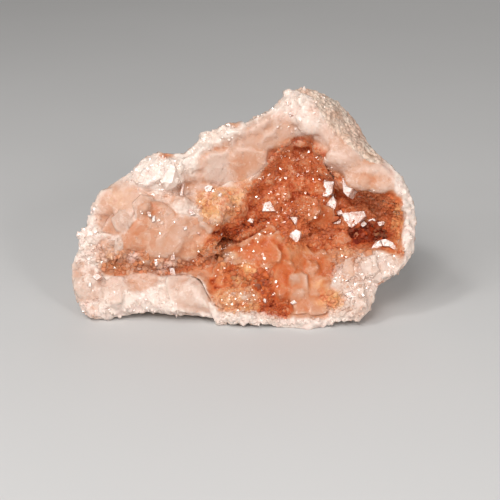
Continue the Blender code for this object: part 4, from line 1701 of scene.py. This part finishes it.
@dataclass(frozen=True)
class EtchedFaces:
    """Large crystal faces: glassy, but etched into grains that flash one by one, over a pale silver
    base colour that is a painted reflection.
    """

    name: str = "etched_faces"
    reflected_silver: Colour = (0.88, 0.80, 0.76)
    rose: Colour = (0.78, 0.60, 0.52)
    pit: Colour = (0.50, 0.26, 0.18)
    flash: float = 0.30  # how far the grains are tilted

    def make(self) -> Material:
        """Build the material.

        Returns:
            The material.
        """
        material, board = new_material(self.name)
        place = board.place()
        cloud = board.noise(place, 520.0, detail=3.0, roughness=0.6)
        pits = board.noise(place, 1500.0, detail=3.0, roughness=0.7)
        chance, tilt, _ = board.cells(board.bent(place, 900.0, 0.0006), 1900.0)
        # A pale silver base colour, a painted reflection, clouded with rose.
        colour = board.blend(board.spread(cloud, 0.42, 0.60), linear(self.reflected_silver), linear(self.rose))
        pitted = board.product(board.spread(pits, 0.55, 0.66), 0.7)
        board.feed(board.shader, {
            "Base Color": board.blend(pitted, colour, linear(self.pit)),
            "Specular IOR Level": 0.8,
            "Roughness": board.ramped(chance, 0.15, 0.08),
            "Subsurface Weight": 0.3,
            "Subsurface Radius": (1.0, 0.70, 0.55),
            "Subsurface Scale": 0.0004,
            "Normal": board.bump(pits, 0.00015, 0.6, Normal=board.faceted(tilt, self.flash)),
            "IOR": QUARTZ_IOR,
        })
        return material


@dataclass(frozen=True)
class Rind:
    """The geode's granular skin: matt, cream to pink, speckled with grey-brown grains."""

    name: str = "granular_rind"
    cream: Colour = (0.92, 0.84, 0.77)
    pink: Colour = (0.89, 0.73, 0.64)
    grain: Colour = (0.60, 0.46, 0.37)
    ochre: Colour = (0.74, 0.50, 0.32)

    def make(self) -> Material:
        """Build the material.

        Returns:
            The material.
        """
        material, board = new_material(self.name)
        place = board.place()
        cloud = board.noise(place, 90.0)
        patches = board.noise(place, 160.0, detail=4.0, roughness=0.6)
        grit = board.noise(place, 1300.0, detail=3.0, roughness=0.7)
        chance, _, reach = board.cells(board.bent(place, 600.0, 0.0010), 900.0)
        colour = board.blend(board.spread(cloud, 0.38, 0.62), linear(self.cream), linear(self.pink))
        rusty = board.product(board.spread(patches, 0.56, 0.74), 0.75)
        colour = board.blend(rusty, colour, linear(self.ochre))
        pit = board.product(board.spread(reach, 0.40, 0.72), board.spread(chance, 0.2, 0.7), 0.55)
        speck = board.product(board.spread(grit, 0.50, 0.64), 0.5)
        board.feed(board.shader, {
            "Base Color": board.blend(board.math("MAXIMUM", pit, speck), colour, linear(self.grain)),
            "Roughness": board.ramped(grit, 0.3, 0.5),
            "Subsurface Weight": 0.15,
            "Subsurface Radius": (1.0, 0.6, 0.5),
            "Subsurface Scale": 0.0008,
            "Normal": board.bump(board.math("SUBTRACT", grit, reach), 0.0005, 0.8),
        })
        return material


@dataclass(frozen=True)
class Studio:
    """A pale floor, soft lamps and the camera that looks squarely at the broken face."""

    lamp_place: tuple[float, float, float] = (-0.10, -0.46, 0.44)  # metres
    aim: tuple[float, float, float] = (0.0, -0.005, 0.02)  # metres
    small_lamp: float = 0.06  # metres, the side of a bank's lamps
    lens: float = 90.0  # mm
    sensor: float = 36.0  # mm
    floor_reach: float = 3.0  # metres, from the floor's middle to its edges
    floor_tones: tuple[tuple[float, ...], ...] = ((0.60, 0.59, 0.58, 1.0), (0.66, 0.65, 0.64, 1.0))
    room_tone: tuple[float, ...] = (1.0, 0.97, 0.94, 1.0)
    room_light: float = 0.12

    def floor(self) -> Piece:
        """Lay the floor.

        Returns:
            The floor.
        """
        shape = bmesh.new()
        bmesh.ops.create_grid(shape, x_segments=1, y_segments=1, size=self.floor_reach)
        floor = in_scene("floor", mesh_of("floor", shape))
        material, board = new_material("pale_floor")
        tone = board.blend(board.noise(board.place(), 6.0), *self.floor_tones)
        board.feed(board.shader, {"Base Color": tone, "Roughness": 0.75})
        floor.data.materials.append(material)
        return floor

    def area(self, name: str, place: Sequence[float], size: float, power: float) -> Piece:
        """Hang a square area lamp that shines on the stone.

        Args:
            name: The lamp's name.
            place: Where it hangs, in metres.
            size: Its side, in metres.
            power: Its power, in watts.

        Returns:
            The lamp.
        """
        light = bpy.data.lights.new(name, "AREA")
        light.size = size
        light.energy = power
        lamp = in_scene(name, light)
        lamp.location = place
        beam = Vector(self.aim) - Vector(place)
        lamp.rotation_euler = beam.to_track_quat("-Z", "Y").to_euler()
        return lamp

    def bank(self, name: str, middle: Sequence[float], rows: int, step: float,
             power: float) -> None:
        """Hang a bank of small lamps: as soft as one large lamp, but with more to mirror.

        Args:
            name: The lamps' name.
            middle: The bank's middle, in metres.
            rows: How many lamps there are each way.
            step: The distance between them, in metres.
            power: Each lamp's power, in watts.
        """
        for row in range(rows):
            for column in range(rows):
                across = step * (column - 0.5 * (rows - 1))
                up = step * (row - 0.5 * (rows - 1))
                place = (middle[0] + across, middle[1], middle[2] + up)
                self.area(f"{name}_{row}_{column}", place, self.small_lamp, power)

    def light(self) -> None:
        """Hang the lamps and set the room's soft light."""
        self.area("key_lamp", self.lamp_place, size=0.20, power=1.6)
        self.area("high_lamp", (-0.28, -0.20, 0.52), size=0.09, power=0.6)
        self.area("right_lamp", (0.30, -0.50, 0.28), size=0.09, power=0.8)
        self.area("front_lamp", (0.00, -0.60, 0.30), size=0.06, power=0.45)
        self.area("back_softbox", (0.25, 0.60, 0.50), size=0.60, power=0.9)
        self.bank("left_bank", (-0.45, -0.40, 0.45), rows=3, step=0.17, power=0.17)
        self.bank("right_bank", (0.50, -0.45, 0.25), rows=2, step=0.20, power=0.12)
        world = bpy.data.worlds.new("studio")
        world.use_nodes = True
        Board(world.node_tree).feed(world.node_tree.nodes["Background"],
                                    {"Color": self.room_tone, "Strength": self.room_light})
        bpy.context.scene.world = world
        bpy.context.scene.view_settings.view_transform = "Standard"

    def camera(self) -> Piece:
        """Set up the camera.

        Returns:
            The camera.
        """
        data = bpy.data.cameras.new("camera")
        data.lens = self.lens
        data.sensor_width = self.sensor
        data.clip_start = 0.01
        camera = in_scene("camera", data)
        camera.location = FACE.to_world @ Vector(FACE.eye)
        camera.rotation_euler = (math.pi / 2.0 - FACE.lean, 0.0, 0.0)
        bpy.context.scene.camera = camera
        return camera


SHOULDER = LineOnFace((  # where the fallen rind starts, at the upper right
    (11.0, 54.4), (14.8, 53.2), (16.6, 51.0), (18.9, 46.6), (21.6, 43.8), (25.0, 41.0),
    (28.4, 38.0), (32.0, 37.4),
))

WALL = Wall(
    name="quartz_wall", node="geode_wall", slot="pale_quartz", seed=83, voxel=0.36, overlap=0.0,
    blocks=(
        Slab("top wall", ((-1.3, 42.2), (1.6, 46.1), (6.2, 48.8), (10.7, 49.7), (12.3, 46.8),
            (12.1, 44.5), (10.3, 42.0), (6.6, 41.3), (2.8, 41.3)), 0.8, (0.05, -0.15), 0.6),
        Slab("top wall foot", ((-1.3, 41.8), (5.7, 40.6), (5.3, 39.3), (5.5, 37.7), (2.1, 34.7),
            (-1.5, 32.9), (-3.8, 34.3), (-3.3, 38.8)), 1.0, (0.12, 0.1), 0.5),
        Slab("top wall west", ((-9.2, 38.8), (-7.0, 40.6), (-3.8, 41.1), (-1.1, 40.2), (-1.5, 36.5),
            (-3.3, 34.3), (-6.5, 32.9), (-8.8, 34.3)), 0.7, (-0.1, 0.05), 0.7),
        Slab("north-west lump", ((-24.9, 37.0), (-21.0, 39.3), (-17.6, 38.4), (-18.8, 34.3),
            (-22.2, 32.5), (-24.7, 33.8)), 0.9, (0.1, -0.1), 0.5),
        Slab("north-west shelf", ((-18.3, 38.4), (-13.3, 39.3), (-12.9, 35.4), (-15.4, 32.9),
            (-18.3, 33.8)), 0.8, (-0.15, -0.1), 0.4),
        Slab("lavender shelf", ((-14.7, 37.4), (-12.9, 39.5), (-10.2, 40.4), (-7.9, 39.3), (-8.3, 37.0),
            (-11.5, 36.3)), 0.8, (0.0, -0.15), 0.5),
        Slab("west pane", ((-29.7, 30.2), (-27.4, 32.0), (-23.3, 32.0), (-21.0, 30.2), (-22.0, 28.4),
            (-24.2, 27.5), (-25.6, 25.2), (-28.3, 24.7), (-29.7, 27.0)), 0.6, (0.1, 0.0), 0.7),
        Slab("west rim lump", ((-34.0, 28.6), (-32.4, 32.0), (-29.7, 32.5), (-29.7, 28.6),
            (-31.5, 26.3), (-33.8, 26.6)), 0.5, (0.15, 0.0), 0.5),
        Slab("lavender crystal", LAVENDER_CRYSTAL, 1.0, (0.2, 0.05), 0.25),
        Slab("pink block", PINK_BLOCK, 0.8, (0.0, 0.2), 0.4),
        Slab("pale block", ((-17.4, 12.3), (-11.7, 12.9), (-10.4, 12.3), (-8.6, 10.2), (-7.7, 8.2),
            (-7.4, 4.3), (-12.0, 3.9), (-15.1, 4.8), (-17.0, 8.2)), 1.4, (-0.1, 0.08), 0.35),
        Slab("east block", ((27.1, 17.0), (28.9, 18.4), (32.1, 18.4), (35.2, 17.5), (36.8, 15.7),
            (35.0, 12.9), (31.6, 11.8), (28.4, 12.0)), 1.4, (-0.1, -0.05), 0.4),
        Slab("east block step", ((27.5, 16.6), (30.2, 17.5), (30.9, 14.3), (29.8, 12.3),
            (27.7, 13.4)), 2.0, (0.15, 0.1), 0.3),
        Slab("east crest", ((28.9, 18.8), (30.2, 20.4), (32.3, 20.9), (34.1, 20.0), (35.2, 18.4),
            (32.1, 18.4)), 0.8, (0.0, -0.2), 0.3),
        Slab("south-east block", ((23.7, 10.7), (25.7, 11.3), (27.5, 10.9), (27.7, 8.2), (25.7, 7.3),
            (23.9, 8.2)), 1.1, (0.1, 0.1), 0.3),
        Slab("south-east foot", ((24.8, 7.9), (29.3, 9.3), (30.2, 7.0), (27.1, 4.3),
            (24.3, 5.2)), 0.7, (0.0, 0.1), 0.4),
    ),
    lumps=(
        Lump("lip fold", (20.3, 38.8), (2.3, 1.4), 0.5),
        Lump("blue lobe", (15.5, 47.2), (3.0, 2.7), 0.9),
        Lump("lip", (18.9, 41.5), (3.0, 2.0), 0.4),
        Lump("upper lip", (22.8, 39.7), (3.9, 2.3), 0.4),
        Lump("brown lip", (27.1, 34.5), (4.1, 2.7), 0.6),
        Lump("brown lip end", (31.4, 33.6), (3.4, 2.5), 0.7),
        Lump("left foot", (-35.6, 10.2), (3.0, 3.4), 0.9),
        Lump("left toe", (-32.6, 8.6), (1.8, 1.8), 0.8),
        Lump("lip root", (18.2, 37.0), (1.4, 1.8), 0.8),
        Lump("west knee", (-31.5, 29.7), (2.0, 2.3), 0.6),
        Lump("crown lump", (11.2, 51.3), (3.2, 2.0), 0.5),
        Lump("white lump", (-19.0, 10.0), (1.6, 1.4), 0.6),
        Lump("north lump", (-5.4, 43.1), (1.8, 1.6), 0.6),
        Lump("upper lump", (-0.6, 46.1), (1.8, 1.6), 0.5),
        Lump("west lobe", (-33.1, 24.5), (2.5, 2.7), 0.5),
    ),
    beds=(
        Bed("left rim", Patch(-34.5, 22.0, 4.2, 11.5), 50, (0.5, 1.1), 0.6, (0.7, 1.1)),
        Bed("bottom band", Patch(-24.0, 4.0, 16.5, 3.2), 60, (0.7, 1.5), 0.6, (0.7, 1.1)),
        Bed("north-west", Patch(-19.5, 35.5, 8.6, 5.0), 26, (0.5, 1.2), 0.6, (0.7, 1.1)),
        Bed("crown", Patch(10.5, 50.0, 6.0, 4.0), 30, (0.6, 1.3), 0.6, (0.6, 0.9)),
        Bed("top edge", Patch(-2.0, 48.0, 12.0, 2.2, turn=22.0), 40, (0.6, 1.5), 0.6, (0.6, 0.9)),
        Bed("right rim", Patch(37.4, 24.0, 2.2, 11.0), 14, (0.5, 1.0), 0.6, (0.6, 0.9)),
        Bed("south-east", Patch(29.5, 10.8, 7.5, 7.5), 34, (0.6, 1.5), 0.6, (0.7, 1.1)),
        Bed("bottom rim", Patch(9.0, 2.6, 18.0, 2.6), 60, (0.6, 1.5), 0.6, (0.6, 1.0)),
    ),
    shoulder=SHOULDER,
)

LINING = Lining(
    name="crystal_lining", node="crystal_crust", slot=ROSE_SLOT, seed=71, voxel=0.30,
    softening=2, overlap=0.70,
    blocks=(
        Slab("west knot", ((-35.6, 20.7), (-32.4, 22.5), (-28.3, 21.6), (-27.6, 18.4), (-30.1, 16.1),
            (-33.5, 15.7), (-35.6, 17.9)), 0.8, (0.1, 0.1), 0.5),
        Slab("rose body", ((-27.0, 18.8), (-27.2, 21.6), (-26.0, 23.4), (-24.0, 25.2), (-24.0, 27.7),
            (-22.6, 29.3), (-20.6, 29.5), (-17.6, 28.8), (-15.6, 26.8), (-13.3, 24.7), (-12.9, 21.1),
            (-14.2, 17.9), (-17.2, 16.6), (-20.4, 16.6), (-22.0, 18.2),
            (-25.1, 18.2)), 1.3, (0.05, -0.05), 1.0),
        Slab("rose east", ((-15.1, 26.6), (-12.4, 26.6), (-9.7, 25.6), (-7.2, 23.6), (-7.2, 22.0),
            (-8.8, 19.7), (-9.7, 18.6), (-10.4, 16.6), (-12.7, 15.7), (-14.7, 17.0), (-13.3, 20.7),
            (-13.8, 24.3)), 1.1, (-0.12, 0.0), 0.7),
        Slab("amber ledge", ((-12.0, 14.3), (-8.6, 14.8), (-6.1, 12.5), (-7.9, 10.7),
            (-10.4, 12.5)), 0.5, (-0.1, 0.1), 0.3),
        Slab("orange flank", ((-7.7, 10.7), (-5.8, 12.5), (-2.9, 12.0), (-2.9, 8.4),
            (-6.5, 7.5)), 0.5, (0.1, 0.1), 0.5),
        Slab("boss", ((-4.9, 17.9), (-3.8, 19.3), (-1.3, 19.9), (1.4, 21.6), (3.7, 22.1), (5.7, 21.6),
            (7.5, 19.7), (8.9, 17.5), (8.5, 15.4), (5.0, 15.7), (1.4, 16.1),
            (-1.5, 16.6)), 1.3, (0.05, 0.15), 0.45),
        Slab("boss crown", ((4.4, 23.8), (5.7, 24.5), (7.3, 23.8), (7.8, 22.0), (5.7, 21.6),
            (4.4, 22.2)), 1.2, (0.1, -0.1), 0.5),
        Slab("boss east", ((5.3, 21.6), (6.6, 22.2), (8.7, 21.1), (10.5, 18.6), (11.2, 16.3),
            (9.4, 15.0), (8.2, 17.0)), 1.5, (-0.2, 0.1), 0.45),
        Slab("boss foot", ((7.8, 15.4), (9.1, 16.6), (11.2, 15.7), (12.3, 13.8), (11.2, 12.3),
            (10.5, 10.0), (9.4, 7.0), (7.5, 6.8), (6.4, 9.5), (6.9, 12.3)), 1.0, (-0.1, 0.1), 0.6),
        Slab("middle mass", ((11.4, 17.9), (13.0, 18.8), (16.2, 18.4), (16.6, 15.7), (18.0, 13.4),
            (15.7, 12.9), (12.5, 13.8), (11.2, 15.7)), 0.8, (0.0, 0.1), 0.6),
        Slab("orange knob", ((16.2, 17.9), (18.4, 18.8), (19.8, 17.0), (19.8, 14.3), (18.9, 12.5),
            (17.1, 13.4)), 1.2, (-0.1, 0.15), 0.7),
        Slab("orange hexagon", ((14.8, 27.9), (17.5, 28.8), (20.7, 27.9), (21.2, 25.4), (18.9, 23.6),
            (15.7, 24.1)), 1.4, (0.1, -0.1), 0.4),
        Slab("hexagon neighbour", ((13.2, 26.1), (15.0, 26.6), (15.5, 24.7),
            (13.9, 24.3)), 0.9, (0.1, 0.0), 0.25),
        Slab("pane", ((11.4, 10.9), (12.3, 12.3), (14.6, 12.9), (15.0, 7.9), (14.8, 3.9), (12.1, 3.4),
            (11.0, 7.0)), 0.8, (0.15, 0.1), 0.3),
        Slab("honey pane", ((15.0, 11.8), (16.6, 12.5), (19.3, 12.3), (19.6, 8.9), (17.1, 7.9),
            (15.0, 8.4)), 1.2, (0.0, -0.1), 0.3),
        Slab("pane foot", ((14.8, 7.7), (17.5, 7.9), (19.3, 7.5), (19.1, 3.9),
            (15.3, 3.4)), 0.7, (-0.1, 0.1), 0.3),
        Slab("bench white", ((-4.7, 17.2), (-3.3, 18.4), (-1.1, 17.9), (0.1, 16.8), (-1.1, 15.4),
            (-3.3, 15.2)), 0.9, (0.05, 0.15), 0.3),
        Slab("bench shelf", ((-3.1, 15.4), (0.1, 16.3), (2.6, 15.9), (3.0, 14.8), (0.3, 13.8),
            (-2.4, 14.3)), 0.8, (0.0, 0.25), 0.25),
        Slab("gold block", ((0.5, 15.0), (3.0, 15.4), (4.1, 14.1), (3.5, 12.3),
            (1.0, 12.7)), 1.1, (0.15, 0.1), 0.2),
        Slab("small gold block", ((4.1, 15.0), (6.4, 14.8), (6.6, 12.9),
            (4.4, 12.7)), 1.0, (-0.1, 0.15), 0.2),
        Slab("orange ledge", ((-7.0, 10.0), (-4.7, 12.0), (-1.1, 12.3), (0.7, 10.9), (-1.1, 9.5),
            (-4.7, 8.6)), 0.8, (0.05, 0.2), 0.4),
        Slab("grain mound", ((-5.8, 7.3), (-3.8, 9.3), (-0.4, 10.0), (2.1, 9.1), (3.0, 7.0), (1.6, 5.4),
            (-1.5, 5.2), (-4.7, 5.7)), 1.3, (0.0, 0.1), 0.8),
        Slab("lower mound", ((-4.7, 4.3), (-1.5, 5.2), (1.6, 4.5), (1.6, 3.0),
            (-2.4, 3.0)), 0.8, (0.0, 0.1), 0.4),
        Slab("south-east chip", ((20.5, 13.4), (23.4, 14.1), (24.1, 12.0), (22.1, 10.9),
            (20.5, 11.6)), 0.9, (0.2, -0.1), 0.25),
        Slab("honey crystal", ((18.2, 18.6), (20.5, 19.5), (21.8, 18.4), (21.6, 16.1),
            (19.1, 15.7)), 1.0, (0.1, -0.15), 0.25),
        Slab("honey crystal east", ((23.2, 18.8), (26.6, 18.4), (26.2, 15.7),
            (23.4, 15.7)), 0.8, (-0.15, -0.1), 0.25),
    ),
    lumps=(
        Lump("rose collar", (-22.9, 28.8), (2.0, 1.6), 0.8),
        Lump("rose fold", (-10.4, 22.7), (2.5, 2.0), 0.8),
        Lump("rose knee", (-24.2, 21.1), (2.5, 2.5), 0.8),
        Lump("rose brow", (-20.6, 27.2), (3.0, 2.0), 0.7),
        Lump("rose foot", (-17.4, 18.4), (3.6, 1.8), 0.6),
        Lump("dome brow", (13.2, 41.3), (3.6, 2.5), 1.3),
        Lump("dome brow east", (13.7, 43.1), (3.4, 1.4), 0.5),
        Lump("dome west", (9.4, 39.0), (3.4, 3.9), 1.8),
        Lump("dome east", (15.3, 39.7), (3.6, 4.3), 2.2),
    ),
    beds=(
        Bed("west", Patch(-30.5, 17.0, 4.5, 5.5), 30, (0.9, 1.9), 0.6, (0.7, 1.1)),
        Bed("pane foot", Patch(20.0, 7.5, 4.0, 4.0), 16, (1.0, 2.0), 0.5, (0.6, 0.9)),
        Bed("bench", Patch(0.0, 11.0, 7.5, 5.0), 20, (0.7, 1.4), 0.6, (0.7, 1.0)),
        Bed("middle", Patch(14.5, 23.0, 7.5, 4.0), 24, (1.0, 2.0), 0.6, (0.7, 1.0)),
        Bed("cave", Patch(14.0, 31.0, 14.0, 10.0), 90, (0.8, 1.9), 0.6, (0.7, 1.1)),
        Bed("shoulder", Patch(-5.5, 28.0, 5.0, 4.2), 18, (0.9, 1.9), 0.5, (0.7, 1.1)),
    ),
    crack=LineOnFace(((-5.8, 18.8), (-4.4, 20.8), (-1.4, 20.2), (2.4, 22.2), (5.0, 24.0))),
)

BLOCKY = {"lean": 0.5, "stretch": (0.6, 0.9), "depth": 1.25}  # large squat crystals

DRUSES = (
    Druse("cave_druse", seed=11, beds=(
        Bed("cave", Patch(9.6, 33.1, 10.9, 7.7), 1200, (0.15, 0.42), depth=1.0),
        Bed("dome", Patch(12.5, 38.8, 6.8, 5.4), 300, (0.14, 0.3), depth=1.0),
        Bed("pocket", Patch(28.4, 26.3, 7.7, 5.9), 600, (0.16, 0.7)),
        Bed("pocket floor", Patch(28.9, 22.5, 4.1, 2.3), 200, (0.3, 0.9)),
        Bed("valley", Patch(2.8, 22.5, 17.0, 3.9, turn=22.0), 1400, (0.14, 0.42), variety=2.0),
        Bed("east wall", Patch(33.6, 22.9, 2.0, 7.7), 90, (0.2, 0.6)),
        Bed("middle", Patch(15.3, 22.5, 6.8, 3.2), 500, (0.18, 0.6)),
    )),
    Druse("ledge_druse", seed=23, beds=(
        Bed("gully", Patch(-21.0, 15.7, 13.2, 3.0), 420, (0.2, 0.8), variety=2.0),
        Bed("west", Patch(-31.5, 17.9, 5.4, 3.6), 50, (0.4, 0.9)),
        Bed("shoulder", Patch(-5.8, 28.1, 5.4, 4.5), 360, (0.2, 0.7)),
        Bed("honey bench", Patch(-3.3, 15.7, 3.2, 2.5), 50, (0.35, 0.95), variety=2.0),
        Bed("orange bench", Patch(1.6, 11.6, 5.9, 2.5), 150, (0.35, 1.05), variety=2.0),
        Bed("grains", Patch(-0.6, 7.0, 6.8, 3.0), 220, (0.2, 0.45), variety=2.0),
        Bed("dark spot", Patch(6.6, 5.9, 3.6, 4.1), 500, (0.15, 0.4)),
        Bed("south-east sparkle", Patch(22.1, 15.7, 5.9, 4.1), 260, (0.25, 0.8), variety=2.0),
        Bed("pane foot", Patch(19.8, 6.1, 5.0, 2.7), 120, (0.3, 0.8)),
    )),
    Druse("rim_crystals", seed=37, beds=(
        Bed("north-west", Patch(-19.9, 35.2, 7.7, 5.0), 120, (0.15, 0.4)),
        Bed("left rim", Patch(-35.1, 21.8, 3.2, 11.3), 70, (0.2, 0.55)),
        Bed("bottom band", Patch(-25.6, 5.7, 15.9, 2.7), 110, (0.2, 0.55)),
        Bed("bottom rim", Patch(8.5, 2.5, 17.0, 1.4), 110, (0.2, 0.5)),
        Bed("right rim", Patch(36.8, 25.2, 1.8, 11.3), 50, (0.2, 0.45)),
        Bed("south-east blocks", Patch(28.9, 15.2, 4.5, 3.0), 16, (1.2, 2.4), **BLOCKY),
        Bed("north-west blocks", Patch(-19.7, 35.6, 5.9, 3.0), 9, (1.2, 2.2), **BLOCKY),
        Bed("left blocks", Patch(-33.8, 23.8, 2.7, 7.3), 10, (0.8, 1.4), **BLOCKY),
        Bed("top edge", Patch(1.6, 49.7, 13.6, 2.3, turn=22.0), 80, (0.2, 0.55)),
        Bed("south-east", Patch(28.9, 10.4, 7.3, 7.7), 220, (0.2, 0.65)),
    )),
)

BRIGHT_FACES = (
    ((18.9, 37.1), (19.8, 35.6), (20.9, 34.7), (20.6, 33.1),
     (20.3, 31.3), (19.1, 30.5), (18.1, 30.6), (18.4, 33.6)),
    ((18.8, 28.6), (20.5, 30.8), (21.3, 29.0), (20.9, 27.6), (20.0, 28.1)),
    ((22.3, 26.7), (24.8, 27.1), (27.5, 27.2), (28.0, 26.1),
     (26.4, 24.7), (24.7, 23.4), (23.3, 24.2), (23.0, 25.4)),
    ((21.2, 27.2), (22.3, 27.5), (22.8, 26.6), (21.6, 26.3)),
    ((20.5, 24.5), (22.3, 25.4), (22.1, 24.4), (20.9, 24.3)),
    ((26.2, 23.8), (27.5, 25.0), (28.2, 24.3), (27.1, 23.4)),
    ((28.2, 25.2), (29.8, 25.6), (30.2, 25.0), (28.9, 24.3)),
    ((30.5, 24.7), (32.3, 25.0), (32.1, 24.1), (30.9, 23.8)),
    ((4.4, 27.2), (4.8, 29.0), (6.2, 29.5), (7.5, 27.2)),
    ((1.0, 25.0), (1.6, 25.6), (2.6, 25.4), (2.1, 24.5)),
    ((10.5, 20.0), (10.7, 22.2), (12.1, 23.1), (13.2, 22.5), (12.8, 20.7), (11.4, 19.1)),
    ((28.9, 18.3), (29.6, 19.6), (31.1, 20.7), (31.8, 19.3), (30.0, 18.5)),
    ((31.2, 20.7), (32.5, 20.9), (34.1, 20.1), (35.1, 18.6), (34.6, 18.3), (33.2, 19.2), (31.9, 19.3)),
    ((-16.7, 14.5), (-15.6, 14.3), (-15.1, 12.3), (-16.3, 12.3)),
    ((-20.1, 16.3), (-19.5, 16.3), (-19.2, 15.0), (-19.9, 14.8)),
    ((-16.3, 17.2), (-15.4, 17.5), (-15.4, 16.1), (-16.3, 16.1)),
    ((-34.2, 12.3), (-33.1, 13.2), (-31.9, 12.3), (-33.1, 11.6)),
    ((-35.1, 10.9), (-34.4, 11.1), (-34.4, 10.0), (-35.1, 10.0)),
    ((-12.4, 27.5), (-11.5, 27.7), (-10.8, 26.6), (-12.0, 26.1)),
    ((-5.6, 31.5), (-4.7, 31.3), (-4.9, 30.4), (-5.6, 30.6)),
    ((-21.7, 27.2), (-21.0, 27.0), (-20.8, 25.9), (-21.5, 26.1)),
    ((-20.6, 25.9), (-19.9, 26.3), (-19.9, 25.0), (-20.6, 24.7)),
    ((-13.6, 23.6), (-12.7, 23.8), (-12.7, 23.1), (-13.3, 22.9)),
    ((-10.6, 22.5), (-9.7, 22.5), (-9.9, 21.8)),
    ((10.3, 49.5), (11.2, 49.9), (11.6, 49.0), (10.7, 48.6)),
    ((-13.8, 33.6), (-13.3, 33.4), (-13.8, 29.7), (-14.5, 29.3)),
    ((-8.8, 32.5), (-7.9, 33.2), (-6.8, 32.9), (-7.2, 31.8), (-8.3, 31.5)),
    ((10.7, 6.4), (11.6, 7.1), (12.3, 6.4), (11.4, 6.1)),
    ((4.6, 7.3), (5.3, 7.5), (5.3, 6.4), (4.8, 6.4)),
    ((23.2, 8.4), (24.8, 9.3), (25.5, 7.7), (23.9, 7.5)),
)

DULL_FACES = (
    ((22.5, 34.7), (23.7, 34.7), (25.3, 33.0), (23.9, 30.4), (22.8, 31.5)),
    ((10.7, 25.9), (12.5, 25.9), (11.9, 24.1)),
)

GLINTS = (
    (Patch(13.0, 33.0, 10.5, 8.5), 230),
    (Patch(2.8, 22.5, 16.0, 3.6, turn=22.0), 100),
    (Patch(28.5, 26.5, 7.5, 6.0), 30),
    (Patch(-21.0, 15.5, 12.5, 2.8), 30),
    (Patch(0.5, 11.5, 7.5, 7.0), 160),
    (Patch(22.0, 16.5, 6.0, 5.5), 50),
    (Patch(-6.0, 28.0, 5.0, 4.5), 30),
    (Patch(-19.5, 25.0, 5.0, 3.5), 20),
    (Patch(-3.0, 45.0, 8.0, 2.4, turn=22.0), 30),
    (Patch(31.0, 12.0, 7.0, 6.5), 70),
    (Patch(-19.5, 35.0, 8.0, 5.0), 60),
    (Patch(-35.0, 20.0, 3.5, 10.0), 50),
    (Patch(-24.0, 7.0, 15.0, 4.5), 60),
    (Patch(12.0, 50.0, 8.0, 5.0), 50),
)


def main() -> None:
    """Build the dressed specimen, piece by piece, and set up the studio."""
    logging.basicConfig(level=logging.INFO, format="%(message)s")
    studio = Studio()
    studio.camera()
    studio.light()
    studio.floor()
    colours = MineralColours().make()
    massive = Quartz("massive_quartz", sink=0.0006, weight=0.55, relief=0.00024, shine=1.0,
                     flash=0.55, gloss=0.45).make(colours)
    crystal = Quartz("crystal_quartz", sink=0.0002, weight=0.0, relief=0.00004, shine=0.9,
                     flash=0.35, gloss=0.35).make(colours)
    glassy = Quartz("glassy_quartz", sink=0.0002, weight=0.0, relief=0.00002, shine=0.5,
                    flash=0.20, gloss=1.0, dulled=0.0).make(colours)
    etched = EtchedFaces().make()
    rind = Rind().make()

    bare = Surface([mesh_of(f"{node}_copy", cad_shape(node)) for node in (WALL.node, LINING.node)])
    wall_mesh, rind_share = WALL.skin(bare)
    lining_mesh = LINING.skin(bare)
    grown = Surface([wall_mesh, lining_mesh])
    for druse in DRUSES:
        druse.build(grown).data.materials.append(crystal)
    lamp = FACE.to_face @ Vector(studio.lamp_place)
    mirrors = Mirrors("mirror_crystals", lamp, bright=BRIGHT_FACES, dull=DULL_FACES)
    mirrors.build(grown).data.materials.append(etched)
    glints = Mirrors("glints", lamp, glints=GLINTS, rust=0.85)
    glints.build(grown).data.materials.append(glassy)
    LINING.build(lining_mesh).data.materials.append(massive)
    WALL.dress(WALL.build(wall_mesh), rind_share, massive, rind)


if __name__ == "__main__":
    main()
